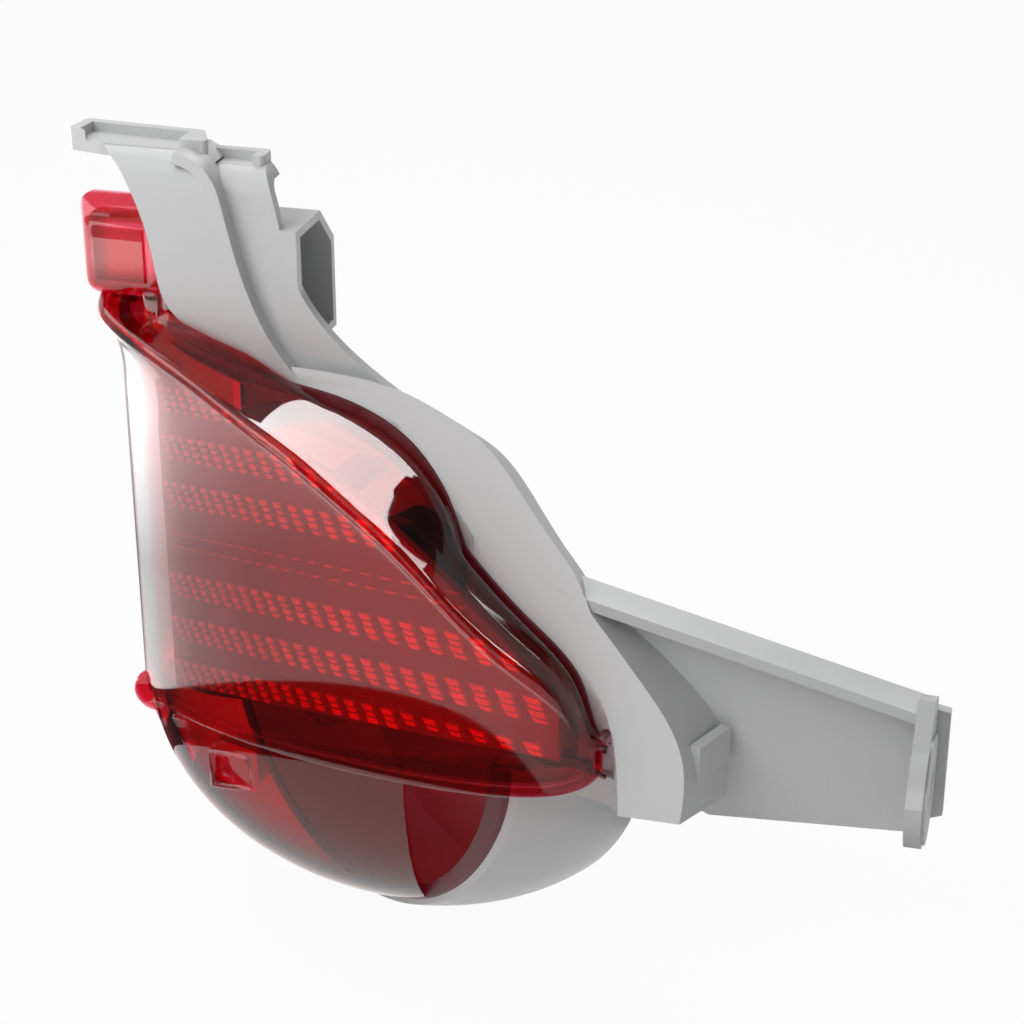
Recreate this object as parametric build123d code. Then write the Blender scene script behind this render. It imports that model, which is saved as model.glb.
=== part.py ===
"""Wrap-around tail light cluster: red lens, grey housing with fin, hook, arm and bolt boss.

Frame: origin at the bolt hole's centre on the washer face of the arm, +X forward along the bolt,
+Y inboard, +Z up. Millimetres.
"""
import os
from math import hypot

from build123d import *

os.makedirs("parts", exist_ok=True)

# Walls, joint and clearances
lens_wall = 2.4
housing_wall = 2.4
joint_gap = 0.8
ledge_gap = 0.3
seat_gap = 0.2

# Plan outlines (X, Y): the lens face, the division of lens from housing, and the back of the housing
lens_plan = [(-66.5, -9.6), (-71.0, -15.6), (-80.0, -18.6), (-92.0, -18.9), (-110.0, -16.8), (-131.0, -11.9),
             (-153.0, -3.8), (-167.6, 5.0), (-174.8, 13.0), (-178.4, 24.0), (-179.3, 40.0), (-177.0, 54.0)]
inboard_corner = (-168.0, 61.0)
back_far = (-150.0, 61.0)
back_near = (-80.0, 17.0)
cover_root = (-62.0, 10.9)
upper_joint = [(-61.0, -16.0), (-62.0, -10.5), (-63.6, -6.8), (-66.0, -4.7), (-69.5, -3.1), (-77.3, -1.4),
               (-85.0, 0.2), (-91.0, 1.6), (-97.0, 3.4), (-103.0, 6.6), (-110.0, 9.1), (-118.0, 10.4),
               (-128.0, 11.2), (-140.0, 10.8), (-154.0, 9.7), (-163.0, 12.0), (-167.5, 20.0), (-168.5, 38.0),
               (-168.0, 70.0)]
lower_joint = [(-50.0, -9.0), (-68.0, -7.0), (-84.0, -6.0), (-98.5, 0.0), (-117.0, 11.0), (-143.0, 27.0),
               (-185.0, 52.0)]

# Side outlines (X, Z): top of the lens, its lower edge, and the tops of the housing
lens_top = [(-60.0, 2.0), (-66.0, 3.5), (-71.0, 15.0), (-84.0, 28.0), (-104.6, 46.5), (-126.8, 61.5),
            (-147.0, 71.5), (-172.0, 80.5), (-184.0, 83.5)]
edge_front = (-55.0, -3.0)
edge_rear = (-185.0, -8.6)
hump_low = [(-97.0, 38.6), (-98.6, 40.2), (-101.0, 42.4), (-105.0, 45.9), (-110.5, 50.1), (-118.0, 55.0),
            (-127.0, 60.8), (-138.0, 66.4), (-150.0, 71.9), (-172.0, 79.7), (-184.0, 82.7)]
hump_high = [(-97.0, 39.0), (-98.6, 45.0), (-101.0, 50.6), (-105.0, 55.6), (-110.5, 60.4), (-118.0, 64.4),
             (-127.0, 67.2), (-138.0, 69.4), (-150.0, 72.6), (-172.0, 79.9), (-184.0, 82.8)]
hump_low_y = -18.0
hump_high_y = 12.0
band_foot = (-10.4, -12.0)
band_lean = 0.275
band_crest = [(-70.0, 28.5), (-72.0, 32.8), (-74.4, 37.0), (-79.0, 42.4), (-84.7, 49.1), (-90.4, 56.0),
              (-96.1, 61.4), (-104.8, 66.1), (-113.5, 69.4), (-124.0, 71.2), (-137.0, 72.0)]
band_fall = 0.60
rear_top = [(-96.0, 42.0), (-112.0, 55.5), (-126.0, 61.0), (-147.0, 70.5), (-172.0, 79.5), (-184.0, 82.0)]
rear_fall = 0.50
fold_y = 15.0

# Lower bowl: half an ellipsoid under the lens edge
bowl_centre = (-116.5, 22.0, -7.0)
bowl_half_length = 59.0
bowl_half_width = 32.0
bowl_depth = 49.0
bowl_overlap = 1.2

# Tip cover: its outlines at the front and at the arm's web, and the rib on its side
cover_front = [(-74.5, 35.5), (-68.2, 25.0), (-62.5, 17.8), (-57.8, 12.7), (-54.1, 7.7), (-50.9, 1.0),
               (-49.8, -5.0), (-49.6, -9.8)]
cover_web = [(-74.0, 32.4), (-65.0, 25.2), (-57.6, 19.3), (-51.0, 13.0), (-46.2, 7.7), (-42.5, 1.0),
             (-41.5, -5.0), (-42.2, -14.0)]
cover_front_y = -12.0
cover_rear_x = -88.0
cover_rib = (11.0, 2.4, 8.0)
cover_rib_at = (-45.2, 2.0, 0.4)
cover_rib_turn = 66.0

# Arm and bolt boss
arm_web_y = 8.5
arm_web = 2.4
arm_flange = 2.4
arm_flange_out = 6.5
arm_root_top = (-78.0, 33.8)
arm_end_top = (-3.0, 15.4)
boss_peak = 3.6
arm_root_base = (-62.0, -12.0)
arm_belly = (-46.0, -18.5)
arm_end_base = (-3.0, -15.8)
arm_tail = 2.0
arm_tail_gap = 0.4
arm_tail_inset = 3.0
arm_tail_taper = 1.0
boss_thick = 3.4
boss_r = 12.0
boss_shoulder = 2.0
washer_r = 11.2
washer_proud = 0.6
bolt_hole_d = 7.7

# Fin of two stepped sheets that bend back at the top, and the trays behind the bends
fin_wall = 2.5
fin_y = 12.0
fin_step = 3.5
fin_top = 115.0
fin_bend_r = 7.0
step_top = 112.0
step_bend_r = 5.0
fin_low = 50.0
fin_rear = [(-178.5, 115.6), (-175.5, 113.8), (-172.6, 111.6), (-169.9, 107.0), (-167.2, 99.0), (-165.8, 92.0),
            (-164.0, 84.0), (-158.0, 77.5), (-148.5, 71.0), (-137.0, 67.0)]
fin_ridge = [(-160.0, 115.6), (-155.0, 113.8), (-152.2, 110.5), (-150.2, 104.2), (-146.0, 88.0), (-139.0, 74.0),
             (-131.0, 66.0)]
fin_front = [(-144.0, 112.6), (-141.9, 110.0), (-140.6, 106.0), (-136.0, 88.0), (-128.0, 77.0), (-115.5, 67.0),
             (-100.0, 56.5)]
fin_foot = [(-112.0, 50.0), (-150.0, 60.0)]
tray_plan = [(-178.0, 17.2), (-185.9, 19.0), (-185.0, 27.0), (-158.2, 24.8), (-154.4, 17.2)]
tray_floor = [(-178.6, 15.0), (-183.4, 19.8), (-182.9, 24.8), (-160.8, 23.0), (-160.8, 15.0)]
step_plan = [(-158.0, 19.5), (-143.8, 19.5), (-143.8, 25.0), (-158.0, 25.0)]
step_floor = [(-160.0, 17.0), (-146.1, 17.0), (-146.1, 23.0), (-160.0, 23.0)]
tray_lip = 2.0
tray_corner_r = 1.2

# Locating tube behind the fin
tube_length = 20.0
tube_mouth_x = -136.0
tube_wide = 23.0
tube_low = 72.0
tube_high = 100.0
tube_chamfer = 8.0
tube_wall = 1.8

# Lens extras: tongue under the tip cover, nose lip, clip box, and the lower tab, brackets and block
tongue_length = 11.0
tongue_wide = 3.0
tongue_high = 5.0
tongue_at = (-58.5, -4.6, -1.5)
lip_out = 4.6
lip_thick = 3.0
lip_front_x = -165.0
clip_wall = 1.8
clip_rear_x = -182.5
clip_front_x = -165.0
clip_y = 15.4
clip_deep = 8.0
clip_low = 84.0
clip_high = 100.0
clip_flange = 3.0
clip_flange_wall = 2.0
clip_step = 1.4
clip_step_x = (-180.4, -169.0)
clip_step_inset = 2.2
clip_corner_r = 2.0
clip_flange_r = 3.0
clip_post = 2.4
clip_post_tall = 14.0
clip_post_x = (-176.0, -171.5)
tab_thick = 2.6
tab_r = 5.0
tab_root_tall = 9.0
tab_root_long = 7.0
tab_at = (-172.8, 14.0, -9.5)
bracket_x = (-164.5, -157.0)
bracket_y = (-8.0, 11.0)
bracket_top = -7.0
bracket_drop = 13.0
block_size = (10.5, 9.0, 9.5)
block_at = (-147.5, -1.5, -15.5)
block_corner_r = 1.5
block_wall = 2.0
block_socket = 3.0

# Prism plate: straight in plan, rows of graded prism cells on its outer face
plate_front = (-75.0, -8.0)
plate_turn = 13.6
plate_thick = 2.0
plate_top = [(0.0, 4.0), (-6.0, 13.0), (-20.0, 25.0), (-40.0, 40.0), (-62.0, 52.0), (-86.0, 60.0)]
plate_base = -0.8
row_first = 1.2
row_pitch = 11.6
row_count = 5
half_row = 3.4
half_row_gap = 0.5
cell_front = 6.0
cell_rear = 3.4
cell_deep = 1.6
cell_flank = 0.2
row_margin = 3.0
row_clear = 1.0

# Reflector behind the prism plate
reflector_gap = 12.0
reflector_wall = 1.6
reflector_top = [(-7.0, 7.0), (-20.0, 18.0), (-40.0, 33.0), (-62.0, 45.0), (-79.0, 51.0)]
reflector_base = 1.5
reflector_rim = 5.0
post_r = 2.0
post_places = [(-13.0, 6.0), (-73.0, 8.0), (-73.0, 44.0), (-36.0, 24.0)]
screw_places = [(-25.0, 9.0), (-66.0, 38.0)]
screw_r = 1.5
screw_head_r = 3.2
screw_head = 2.0
screw_bite = 6.0
screw_boss_r = 3.6

# Bulbs and their twist-lock sockets in the flat back wall: place along the wall, height and sizes
tail_along = 40.0
tail_z = 20.0
tail_hole_r = 12.0
tail_glass_r = 9.0
marker_along = 56.0
marker_z = -17.0
marker_hole_r = 8.5
marker_glass_r = 5.5
socket_fit = 0.3
socket_flange = 4.0
socket_flange_thick = 3.0
seal_thick = 2.0
seal_inset = 0.6
socket_back = 14.0
socket_front = 9.0
socket_bore_wall = 2.0
bore_floor = -1.0
base_proud = 3.0
neck_share = 0.8
neck_long = 0.7
globe_rise = 1.3
bulb_clear = 1.5
tail_stub = (21.0, 16.0)
marker_stub = (17.0, 14.0)
well_wall = 1.5
well_deep = 10.0
blade_thick = 0.8
blade_wide = 2.4
blade_long = 7.0
blade_pitch = 4.2

# Vent and foam gasket on the back wall
vent_along = 8.5
vent_z = 8.0
vent_r = 4.0
vent_bore_r = 2.2
vent_long = 7.0
cap_wall = 1.4
cap_long = 8.0
gasket_thick = 4.0
gasket_wide = 7.0
gasket_clear = 1.0

# Limits past the whole lamp, the length of a hole's cutter each way, and how far a cut runs past a face
low = -70.0
high = 130.0
reach = 90.0
through = 20.0
over = 1.0


def offset_points(points, amount):
    """Points moved sideways, to the left of the way the list runs."""
    moved = []
    for i, (u, v) in enumerate(points):
        before = points[max(i - 1, 0)]
        after = points[min(i + 1, len(points) - 1)]
        du = after[0] - before[0]
        dv = after[1] - before[1]
        size = hypot(du, dv)
        moved.append((u - dv / size * amount, v + du / size * amount))
    return moved


def plan_face(curve, corners):
    """Closed XY face: a spline through curve, then straight runs through the corners."""
    line = Spline(*[(x, y, 0) for x, y in curve])
    rest = Polyline(*[(x, y, 0) for x, y in [curve[-1]] + corners + [curve[0]]])
    return make_face(line + rest)


def side_face(curve, corners):
    """Closed XZ face: a spline through curve, then straight runs through the corners."""
    line = Spline(*[(x, 0, z) for x, z in curve])
    rest = Polyline(*[(x, 0, z) for x, z in [curve[-1]] + corners + [curve[0]]])
    return make_face(line + rest)


def side_polygon(points):
    """Closed XZ face with straight sides."""
    return make_face(Polyline(*[(x, 0, z) for x, z in points], close=True))


def rise(face, z0=low, z1=high):
    """XY face drawn out from z0 to z1."""
    return extrude(Pos(0, 0, z0) * face, amount=z1 - z0, dir=(0, 0, 1))


def draw(face, y0, y1, slope=0.0):
    """XZ face drawn out from y0 to y1, climbing by slope for each millimetre of Y."""
    length = abs(y1 - y0) * hypot(1, slope)
    way = 1 if y1 > y0 else -1
    return extrude(Pos(0, y0, 0) * face, amount=length, dir=(0, way, way * slope))


def body_plan(inset):
    """Outline of the closed lamp body in plan, drawn in by inset."""
    face_line = offset_points(lens_plan, -inset)
    back = Vector(back_far[0] - back_near[0], back_far[1] - back_near[1]).normalized()
    corners = [(inboard_corner[0] + inset, inboard_corner[1] - inset),
               (back_far[0] - back.Y * inset, back_far[1] - inset),
               (back_near[0] - back.Y * inset, back_near[1] + back.X * inset),
               (cover_root[0], cover_root[1] - inset)]
    return plan_face(face_line, corners)


def above_edge(raised):
    """Everything above the lens's lower edge line, raised by the given height."""
    front = (edge_front[0] + reach, edge_front[1] + raised)
    rear = (edge_rear[0] - reach, edge_rear[1] + raised)
    return draw(side_polygon([front, rear, (rear[0], high), (front[0], high)]), -reach, reach)


def lens_side(joint, shift):
    """Plan region on the lens's side of a joint line, drawn back from the line by shift."""
    line = offset_points(joint, shift)
    return rise(plan_face(line, [(-3 * reach, line[-1][1]), (-3 * reach, -reach), (line[0][0], -reach)]))


def housing_side(joint, shift):
    """Plan region on the housing's side of a joint line, drawn back from the line by shift."""
    line = offset_points(joint, -shift)
    return rise(plan_face(line, [(line[-1][0], reach), (0, reach), (0, line[0][1])]))


def lens_block(inset, drop):
    """Solid under the lens's roof: level up to the fold, then falling inboard, with a hump by the housing."""
    top = offset_points(lens_top, drop)
    outline = side_face(top, [(top[-1][0], low), (top[0][0], low)])
    block = draw(outline, -reach, fold_y) + draw(outline, fold_y, reach, -rear_fall)
    ends = []
    for points, y in ((hump_low, hump_low_y), (hump_high, hump_high_y)):
        line = offset_points(points, drop)
        ends.append(Pos(0, y, 0) * side_face(line, [(line[-1][0], low), (line[0][0], low)]))
    return (block + loft(ends, ruled=True)) & rise(body_plan(inset))


def bowl(grow):
    """Lower bowl as a solid ellipsoid, grown by the given amount."""
    size = (bowl_half_length + grow, bowl_half_width + grow, bowl_depth + grow)
    return Pos(*bowl_centre) * scale(Sphere(1.0), by=size)


def make_lens():
    upper = lens_block(0, 0) & above_edge(0) & lens_side(upper_joint, joint_gap / 2)
    under = above_edge(0)
    lower = (bowl(0) & rise(body_plan(0)) & lens_side(lower_joint, joint_gap / 2)) - under
    hollow = lens_block(lens_wall, lens_wall) & above_edge(lens_wall)
    dish = bowl(-lens_wall) & rise(body_plan(lens_wall)) - above_edge(lens_wall + over)
    rear_corners = [(lip_front_x, low), (lip_front_x, high), (-3 * reach, high), (-3 * reach, low)]
    rear_zone = draw(side_polygon(rear_corners), -reach, reach)
    lip = (lens_block(-lip_out, 0) - lens_block(-2 * lip_out, lip_thick)) & rear_zone
    lip &= lens_side(upper_joint, joint_gap / 2)
    shell = upper + lip + lower - hollow - dish
    return shell + make_tongue(0) + make_clip_box() + make_lower_fittings(hollow + dish)


def make_tongue(grow):
    """Tongue of the lens tip that slips under the cover's lip."""
    size = (tongue_length + 2 * grow, tongue_wide + 2 * grow, tongue_high + 2 * grow)
    tongue = Box(*size)
    return Pos(tongue_at[0] - tongue_length / 2, tongue_at[1], tongue_at[2]) * tongue


def make_clip_box():
    """Stepped hollow box on the lens's nose, open inboard, on two posts."""
    wide = clip_front_x - clip_rear_x
    tall = clip_high - clip_low
    middle = Pos((clip_front_x + clip_rear_x) / 2, clip_y + clip_deep / 2, (clip_high + clip_low) / 2)
    outer = middle * fillet(Box(wide, clip_deep, tall).edges().filter_by(Axis.Y), clip_corner_r)
    inner = middle * Pos(0, clip_wall, 0) * Box(wide - 2 * clip_wall, clip_deep, tall - 2 * clip_wall)
    flange = Box(wide + 2 * clip_flange, clip_flange_wall, tall + 2 * clip_flange)
    flange = fillet(flange.edges().filter_by(Axis.Y), clip_flange_r)
    flange = middle * Pos(0, clip_deep / 2 - clip_flange_wall / 2, 0) * flange
    step_rear, step_front = clip_step_x
    step = Box(step_front - step_rear, clip_step, tall - 2 * clip_step_inset)
    step = Pos((step_front + step_rear) / 2, clip_y - clip_step / 2, (clip_high + clip_low) / 2) * step
    post = Box(clip_post, clip_deep - 2 * clip_post, clip_post_tall)
    posts = [Pos(x, clip_y + clip_deep / 2, clip_low + clip_wall - clip_post_tall / 2) * post for x in clip_post_x]
    return outer + flange + step + posts - inner


def make_lower_fittings(inside):
    """Rounded tab at the lower rear corner, two brackets and a small hollow block under the lens's edge."""
    root = Pos(tab_root_long / 2, 0, (tab_root_tall - tab_r) / 2) * Box(tab_root_long, tab_thick, tab_root_tall)
    tab = Pos(*tab_at) * (Rot(90, 0, 0) * Cylinder(tab_r, tab_thick) + root)
    size_x, size_y, size_z = block_size
    box = Pos(*block_at) * fillet(Box(*block_size).edges().filter_by(Axis.Y), block_corner_r)
    socket = Box(size_x - 2 * block_wall, 2 * block_socket, size_z - 2 * block_wall)
    socket = Pos(block_at[0], block_at[1] - size_y / 2, block_at[2]) * socket
    brackets = []
    outer, inner = bracket_y
    for x in bracket_x:
        outline = make_face(Polyline((x, outer, bracket_top), (x, inner, bracket_top),
                                     (x, inner, bracket_top - bracket_drop), close=True))
        brackets.append(extrude(outline, amount=clip_wall, dir=(1, 0, 0)))
    return tab + (box - socket) + brackets - inside


def band_y(z):
    """Y of the housing's leaning outer band at a height."""
    foot_y, foot_z = band_foot
    return foot_y + band_lean * (z - foot_z)


def band_side(inset):
    """Region inboard of the leaning band, drawn in by inset."""
    corners = [(band_y(low) + inset, low), (band_y(high) + inset, high), (reach, high), (reach, low)]
    face = make_face(Polyline(*[(-3 * reach, y, z) for y, z in corners], close=True))
    return extrude(face, amount=4 * reach, dir=(1, 0, 0))


def housing_block(inset, drop):
    """Solid under the housing's top: the leaning band, and roofs that fall inboard from its crest and the fold."""
    crest = [(x, z + band_fall * (band_y(z) + reach)) for x, z in offset_points(band_crest, drop)]
    rear = offset_points(rear_top, drop)
    band_outline = side_face(crest, [(crest[-1][0], low), (crest[0][0], low)])
    rear_outline = side_face(rear, [(rear[-1][0], low), (rear[0][0], low)])
    band_body = draw(band_outline, -reach, reach, -band_fall) & band_side(inset)
    rear_body = draw(rear_outline, -reach, fold_y) + draw(rear_outline, fold_y, reach, -rear_fall)
    return (band_body + rear_body) & rise(body_plan(inset))


def cover_block(inset):
    """Cover over the lens tip: leaning front in line with the band, side wall drawn back to the arm's web."""
    ends = []
    for points, y in ((cover_front, cover_front_y), (cover_web, cover_root[1] - inset)):
        line = offset_points(points, -inset)
        base = points[-1][1] + inset
        line[-1] = (line[-1][0], base)
        ends.append(Pos(0, y, 0) * side_face(line, [(cover_rear_x, base), (cover_rear_x, line[0][1])]))
    return loft(ends, ruled=True) & band_side(inset)


def make_tray(plan, floor, top):
    """Shallow tray behind a bend: a rim on three sides, open to the bent sheet in front."""
    outline = make_face(Polyline(*plan, close=True))
    outline = fillet(outline.vertices(), tray_corner_r)
    dish = make_face(Polyline(*floor, close=True))
    tray = Pos(0, 0, top - fin_wall) * extrude(outline, amount=fin_wall + tray_lip, dir=(0, 0, 1))
    return tray - Pos(0, 0, top) * extrude(dish, amount=2 * tray_lip, dir=(0, 0, 1))


def make_tube():
    """Square locating tube behind the fin, open forward."""
    y0 = fin_y + fin_step
    y1 = y0 + tube_wide
    outline = make_face(Polyline((0, y0, tube_low), (0, y1, tube_low), (0, y1, tube_high - tube_chamfer),
                                 (0, y1 - tube_chamfer, tube_high), (0, y0, tube_high), close=True))
    outer = Pos(tube_mouth_x, 0, 0) * extrude(outline, amount=tube_length, dir=(-1, 0, 0))
    corner = tube_chamfer + tube_wall * (hypot(1, 1) - 1)
    bore = make_face(Polyline((0, y0 + fin_wall, tube_low + tube_wall), (0, y1 - tube_wall, tube_low + tube_wall),
                              (0, y1 - tube_wall, tube_high - corner), (0, y1 - corner, tube_high - tube_wall),
                              (0, y0 + fin_wall, tube_high - tube_wall), close=True))
    inner = Pos(tube_mouth_x, 0, 0) * extrude(bore, amount=tube_length - tube_wall, dir=(-1, 0, 0))
    return outer, inner


def make_arm():
    web_back = arm_web_y + arm_web
    web = draw(side_polygon([arm_root_top, arm_end_top, arm_end_base, arm_belly, arm_root_base]),
               arm_web_y, web_back)
    drop = arm_flange
    flange = draw(side_polygon([arm_root_top, arm_end_top, (arm_end_top[0], arm_end_top[1] - drop),
                                (arm_root_top[0], arm_root_top[1] - drop)]),
                  arm_web_y - arm_flange_out, web_back)
    outer_y = arm_web_y - arm_flange_out
    plate_points = [(web_back, arm_end_top[1]), (outer_y, arm_end_top[1] + boss_peak), (-boss_r, boss_shoulder),
                    (-boss_r, 0.0), (0.0, -boss_r), (arm_web_y, arm_end_base[1]), (web_back, arm_end_base[1])]
    plate = make_face(Polyline(*[(0, y, z) for y, z in plate_points], close=True))
    disc = Plane.YZ * Circle(boss_r)
    boss = Pos(-washer_proud, 0, 0) * extrude(plate + disc, amount=boss_thick, dir=(-1, 0, 0))
    pad = extrude(Plane.YZ * Circle(washer_r), amount=boss_thick, dir=(-1, 0, 0))
    tail_top = arm_end_top[1] - arm_tail_inset
    tail_y = washer_r + arm_tail_gap
    tail = draw(side_polygon([(arm_end_top[0], tail_top), (arm_tail, tail_top - arm_tail_taper),
                              (arm_tail, arm_end_base[1] + arm_tail_inset),
                              (arm_end_base[0], arm_end_base[1] + arm_tail_taper)]), tail_y, tail_y + arm_web)
    hole = extrude(Plane.YZ * Circle(bolt_hole_d / 2), amount=2 * boss_thick, both=True)
    return web + flange + boss + pad + tail - hole


def bent_sheet(face_y, top, bend_r, back_y):
    """Upright sheet that bends back over a round corner to a level end, drawn out along X."""
    inner_r = bend_r - fin_wall
    middle = (face_y + bend_r, top - bend_r)
    outer = CenterArc((0, 0), bend_r, 90, 90)
    inner = CenterArc((0, 0), inner_r, 90, 90)
    rim = Polyline((0, bend_r), (back_y - middle[0], bend_r), (back_y - middle[0], inner_r), (0, inner_r))
    leg = Polyline((-bend_r, 0), (-bend_r, fin_low - middle[1]), (-inner_r, fin_low - middle[1]), (-inner_r, 0))
    profile = Plane.YZ * Pos(*middle) * make_face(outer + inner + rim + leg)
    return Pos(-2 * reach, 0, 0) * extrude(profile, amount=2 * reach, dir=(1, 0, 0))


def make_fin():
    """Two upright sheets joined by a riser along the ridge, each bent back at the top into its tray."""
    ridge = Spline(*[(x, 0, z) for x, z in fin_ridge])
    rear_line = Spline(*[(x, 0, z) for x, z in fin_rear])
    join_low = Line((fin_rear[-1][0], 0, fin_rear[-1][1]), (fin_ridge[-1][0], 0, fin_ridge[-1][1]))
    join_top = Line((fin_ridge[0][0], 0, fin_ridge[0][1]), (fin_rear[0][0], 0, fin_rear[0][1]))
    step_y = fin_y + fin_step
    sheet_a = bent_sheet(fin_y, fin_top, fin_bend_r, tray_plan[2][1] - tray_lip)
    sheet_b = bent_sheet(step_y, step_top, step_bend_r, step_plan[2][1] - tray_lip)
    plate_a = draw(make_face(rear_line + join_low + ridge + join_top), 0, reach) & sheet_a
    inner_ridge = offset_points(fin_ridge, -fin_wall)
    inner_line = Spline(*[(x, 0, z) for x, z in inner_ridge])
    strip_top = Line((fin_ridge[0][0], 0, fin_ridge[0][1]), (inner_ridge[0][0], 0, inner_ridge[0][1]))
    strip_low = Line((fin_ridge[-1][0], 0, fin_ridge[-1][1]), (inner_ridge[-1][0], 0, inner_ridge[-1][1]))
    riser = draw(make_face(ridge + inner_line + strip_top + strip_low), fin_y, step_y + fin_wall)
    front_line = Spline(*[(x, 0, z) for x, z in fin_front])
    foot = Polyline(*[(x, 0, z) for x, z in [fin_front[-1]] + fin_foot + [inner_ridge[-1]]])
    cap = Line((inner_ridge[0][0], 0, inner_ridge[0][1]), (fin_front[0][0], 0, fin_front[0][1]))
    plate_b = draw(make_face(front_line + foot + inner_line + cap), 0, reach) & sheet_b
    trays = [make_tray(tray_plan, tray_floor, fin_top), make_tray(step_plan, step_floor, step_top)]
    return plate_a + riser + plate_b + trays


def make_housing():
    own_side = housing_side(upper_joint, joint_gap / 2)
    upper = housing_block(0, 0) & above_edge(0) & own_side
    lower = bowl(bowl_overlap) & rise(body_plan(0)) & housing_side(lower_joint, joint_gap / 2)
    lower = (lower & own_side) - above_edge(0) + (lower - above_edge(-ledge_gap))
    tip = cover_block(0) & own_side
    tube, bore = make_tube()
    shell = upper + lower + tip
    hollow = housing_block(housing_wall, housing_wall) & above_edge(housing_wall)
    walled = housing_side(upper_joint, joint_gap / 2 + housing_wall)
    hollow = (hollow & walled) + (hollow & lens_block(lens_wall, lens_wall)) + (cover_block(housing_wall) & walled)
    dish = bowl(-lens_wall) & rise(body_plan(housing_wall)) - above_edge(housing_wall + over)
    shell = shell - hollow - dish
    lens_room = lens_block(0, -seat_gap) & lens_side(upper_joint, -joint_gap / 2)
    outer = upper + lower + tip
    bosses = [screw_axis(place) * cylinder_y(screw_boss_r, reflector_gap + reflector_wall, reach) & outer
              for place in screw_places]
    pilots = [screw_axis(place) * cylinder_y(screw_r, 0, reflector_gap + reflector_wall + screw_bite)
              for place in screw_places]
    vent = back_place(vent_along, vent_z) * cylinder_z(vent_r, -housing_wall, vent_long)
    holes = [back_place(tail_along, tail_z) * cylinder_z(tail_hole_r, -through, through),
             back_place(marker_along, marker_z) * cylinder_z(marker_hole_r, -through, through),
             back_place(vent_along, vent_z) * cylinder_z(vent_bore_r, -through, through)]
    rib = Pos(*cover_rib_at) * Rot(0, 0, cover_rib_turn) * Box(*cover_rib)
    trim = make_fin() + tube + make_arm() + rib - lens_room - bore
    return shell + trim + bosses + vent - holes - pilots - make_tongue(seat_gap)


def cylinder_z(radius, z0, z1):
    """Round bar along Z from z0 to z1."""
    return Pos(0, 0, (z0 + z1) / 2) * Cylinder(radius, z1 - z0)


def cylinder_y(radius, y0, y1):
    """Round bar along Y from y0 to y1."""
    return Pos(0, (y0 + y1) / 2, 0) * Rot(90, 0, 0) * Cylinder(radius, y1 - y0)


def back_place(along, height):
    """Place on the flat back wall: X along the wall, Z out of it, Y up."""
    run = Vector(back_far[0] - back_near[0], back_far[1] - back_near[1], 0).normalized()
    spot = Vector(back_near[0], back_near[1], height) + run * along
    return Plane(origin=spot, x_dir=run * -1, z_dir=Vector(-run.Y, run.X, 0) * -1).location


def plate_place():
    """Frame of the prism plate: X along its rows to the front, Y inboard, Z up."""
    return Pos(plate_front[0], plate_front[1], 0) * Rot(0, 0, -plate_turn)


def screw_axis(place):
    return plate_place() * Pos(place[0], 0, place[1])


def sail_outline(top, base, inset=0.0):
    """Sail-shaped outline in the plate's own XZ plane: curved top, straight rear, base and front."""
    line = offset_points(top, inset)
    line[0] = (top[0][0] - inset, line[0][1])
    line[-1] = (top[-1][0] + inset, line[-1][1])
    return side_face(line, [(line[-1][0], base + inset), (line[0][0], base + inset)])


def prism_row(z0, x_front, x_rear):
    """Half row of prism cells: a saw-tooth edge whose teeth narrow to the rear."""
    points = [(x_front, 0.0)]
    x = x_front
    while True:
        pitch = cell_front + (cell_rear - cell_front) * x / plate_top[-1][0]
        if x - pitch < x_rear:
            break
        points.append((x - pitch * cell_flank, -cell_deep))
        points.append((x - pitch * (1 - cell_flank), -cell_deep))
        points.append((x - pitch, 0.0))
        x -= pitch
    points.append((x, plate_thick / 2))
    points.append((x_front, plate_thick / 2))
    outline = make_face(Polyline(*[(u, v, z0) for u, v in points], close=True))
    return extrude(outline, amount=half_row, dir=(0, 0, 1))


def row_front(z):
    """Where a row that reaches up to z starts, by the sloping top of the plate."""
    for (x0, z0), (x1, z1) in zip(plate_top, plate_top[1:]):
        if z <= z1:
            return x0 + (x1 - x0) * max(z - z0, 0) / (z1 - z0)
    return plate_top[-1][0]


def make_prism_plate():
    plate = draw(sail_outline(plate_top, plate_base), 0, plate_thick)
    rows = []
    for i in range(row_count):
        for half in (0, 1):
            z0 = row_first + i * row_pitch + half * (half_row + half_row_gap)
            x_front = row_front(z0 + half_row + row_clear) - row_margin
            rows.append(prism_row(z0, x_front, plate_top[-1][0] + row_margin))
    return plate_place() * (plate + rows)


def make_reflector():
    y0 = reflector_gap
    outline = sail_outline(reflector_top, reflector_base)
    sheet = draw(outline, y0, y0 + reflector_wall)
    rim = draw(outline, y0 - reflector_rim, y0)
    rim -= draw(sail_outline(reflector_top, reflector_base, reflector_wall), y0 - reflector_rim - over, y0)
    posts = [Pos(x, 0, z) * cylinder_y(post_r, plate_thick, y0) for x, z in post_places]
    hole = cylinder_y(screw_r + seat_gap, y0 - over, y0 + reflector_wall + over)
    holes = [Pos(x, 0, z) * hole for x, z in screw_places]
    tray = plate_place() * (sheet + rim + posts - holes)
    return tray - back_place(tail_along, tail_z) * cylinder_z(tail_glass_r + bulb_clear, -reach, 0)


def make_screws():
    screws = []
    for place in screw_places:
        head = cylinder_y(screw_head_r, reflector_gap - screw_head, reflector_gap)
        shank = cylinder_y(screw_r, reflector_gap, reflector_gap + reflector_wall + screw_bite)
        screws.append(screw_axis(place) * (head + shank))
    return Compound(children=screws)


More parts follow.
